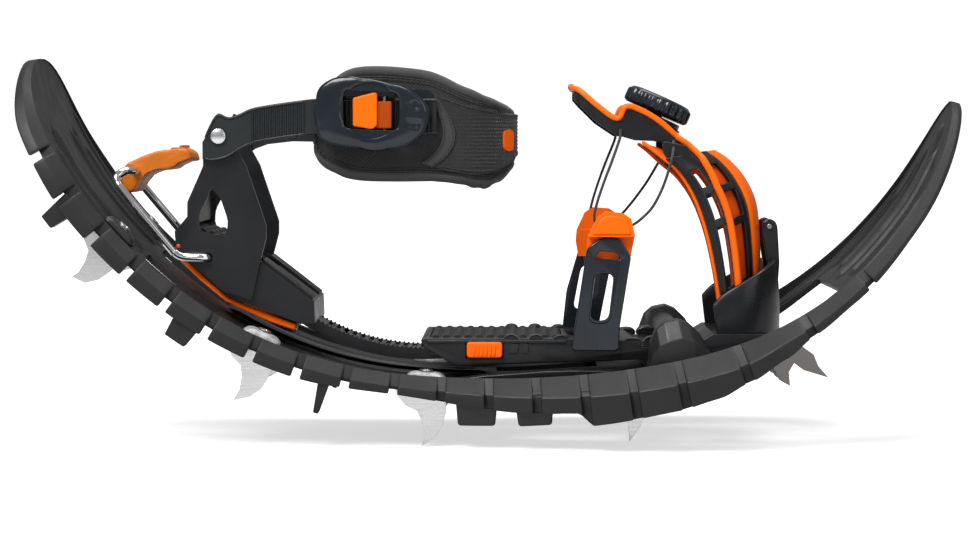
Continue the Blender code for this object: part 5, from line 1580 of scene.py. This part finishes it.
FLOOR_GAP, FLOOR_REACH = 0.0005, 12.0
PAPER = 0.62
SKY_LIGHT, SKY_SEEN = 0.3, 1.05               # the world's strength for light, and as the camera sees it


def build_floor():
    """A pale level floor that fades to plain white all round, so that no horizon shows from any side."""
    look = Look("studio_paper")
    grain = look.noise(900.0, 3.0)
    gone = look.add("VectorMath", {"operation": "LENGTH"}, i0=look.coords).outputs["Value"]
    glow = look.span(gone, 0.7, 1.6, PAPER, SKY_SEEN)
    seen = look.math("MULTIPLY", look.nodes.new("ShaderNodeLightPath").outputs["Is Camera Ray"], glow)
    paper = look.finish(rgb((PAPER,) * 3), 0.9, look.bump(grain, 0.03, 0.0003),
                        Emission_Color=(1.0, 1.0, 1.0, 1.0), Emission_Strength=seen)
    low, reach = CAD_BOX[0][2] - FLOOR_GAP, FLOOR_REACH
    mesh = bpy.data.meshes.new("floor")
    mesh.from_pydata([(x, y, low) for x, y in ((-reach, -reach), (reach, -reach), (reach, reach), (-reach, reach))], [],
                     [(0, 1, 2, 3)])
    mesh.materials.append(paper)
    new_object("floor", mesh)


LIGHTS = (                                    # name, place, aim, size, power
    ("key", (-0.7, -1.2, 1.6), (0.0, 0.0, 0.08), (1.0, 1.0), 50),
    ("fill", (1.2, -1.3, 0.8), (0.0, 0.0, 0.08), (1.0, 1.0), 4.5),
    ("top", (0.2, 0.25, 1.7), (0.0, 0.0, 0.05), (1.4, 1.0), 19),
)


def build_studio():
    build_floor()
    world = bpy.data.worlds.new("studio")
    bpy.context.scene.world = world
    world.use_nodes = True
    nodes, links = world.node_tree.nodes, world.node_tree.links
    background = nodes["Background"]
    background.inputs["Color"].default_value = (1.0, 1.0, 1.0, 1.0)
    backdrop = nodes.new("ShaderNodeMapRange")
    backdrop.inputs["To Min"].default_value = SKY_LIGHT
    backdrop.inputs["To Max"].default_value = SKY_SEEN
    links.new(nodes.new("ShaderNodeLightPath").outputs["Is Camera Ray"], backdrop.inputs["Value"])
    links.new(backdrop.outputs["Result"], background.inputs["Strength"])
    for light in LIGHTS:
        soft_light(*light)
    bpy.context.scene.view_settings.view_transform = "Standard"


CAMERA_TARGET, CAMERA_DISTANCE, CAMERA_LENS = SHIFT + Vector((0.0, 0.0, 0.092)), 1.5, 94.9
CAMERA_AZIMUTH, CAMERA_ELEVATION = 0.6, 3.0   # degrees


def build_camera():
    """The photo's view: almost square on the right side, from a little above."""
    azimuth, elevation = math.radians(CAMERA_AZIMUTH), math.radians(CAMERA_ELEVATION)
    away = Vector((math.sin(azimuth) * math.cos(elevation), -math.cos(azimuth) * math.cos(elevation),
                   math.sin(elevation)))
    data = bpy.data.cameras.new("camera")
    data.lens = CAMERA_LENS
    data.sensor_width = 36.0
    camera = new_object("camera", data)
    camera.location = CAMERA_TARGET + away * CAMERA_DISTANCE
    camera.rotation_euler = (-away).to_track_quat("-Z", "Y").to_euler()
    bpy.context.scene.camera = camera


build_frame()
build_binding()
build_heel()
build_ankle()
build_tongue()
build_studio()
build_camera()
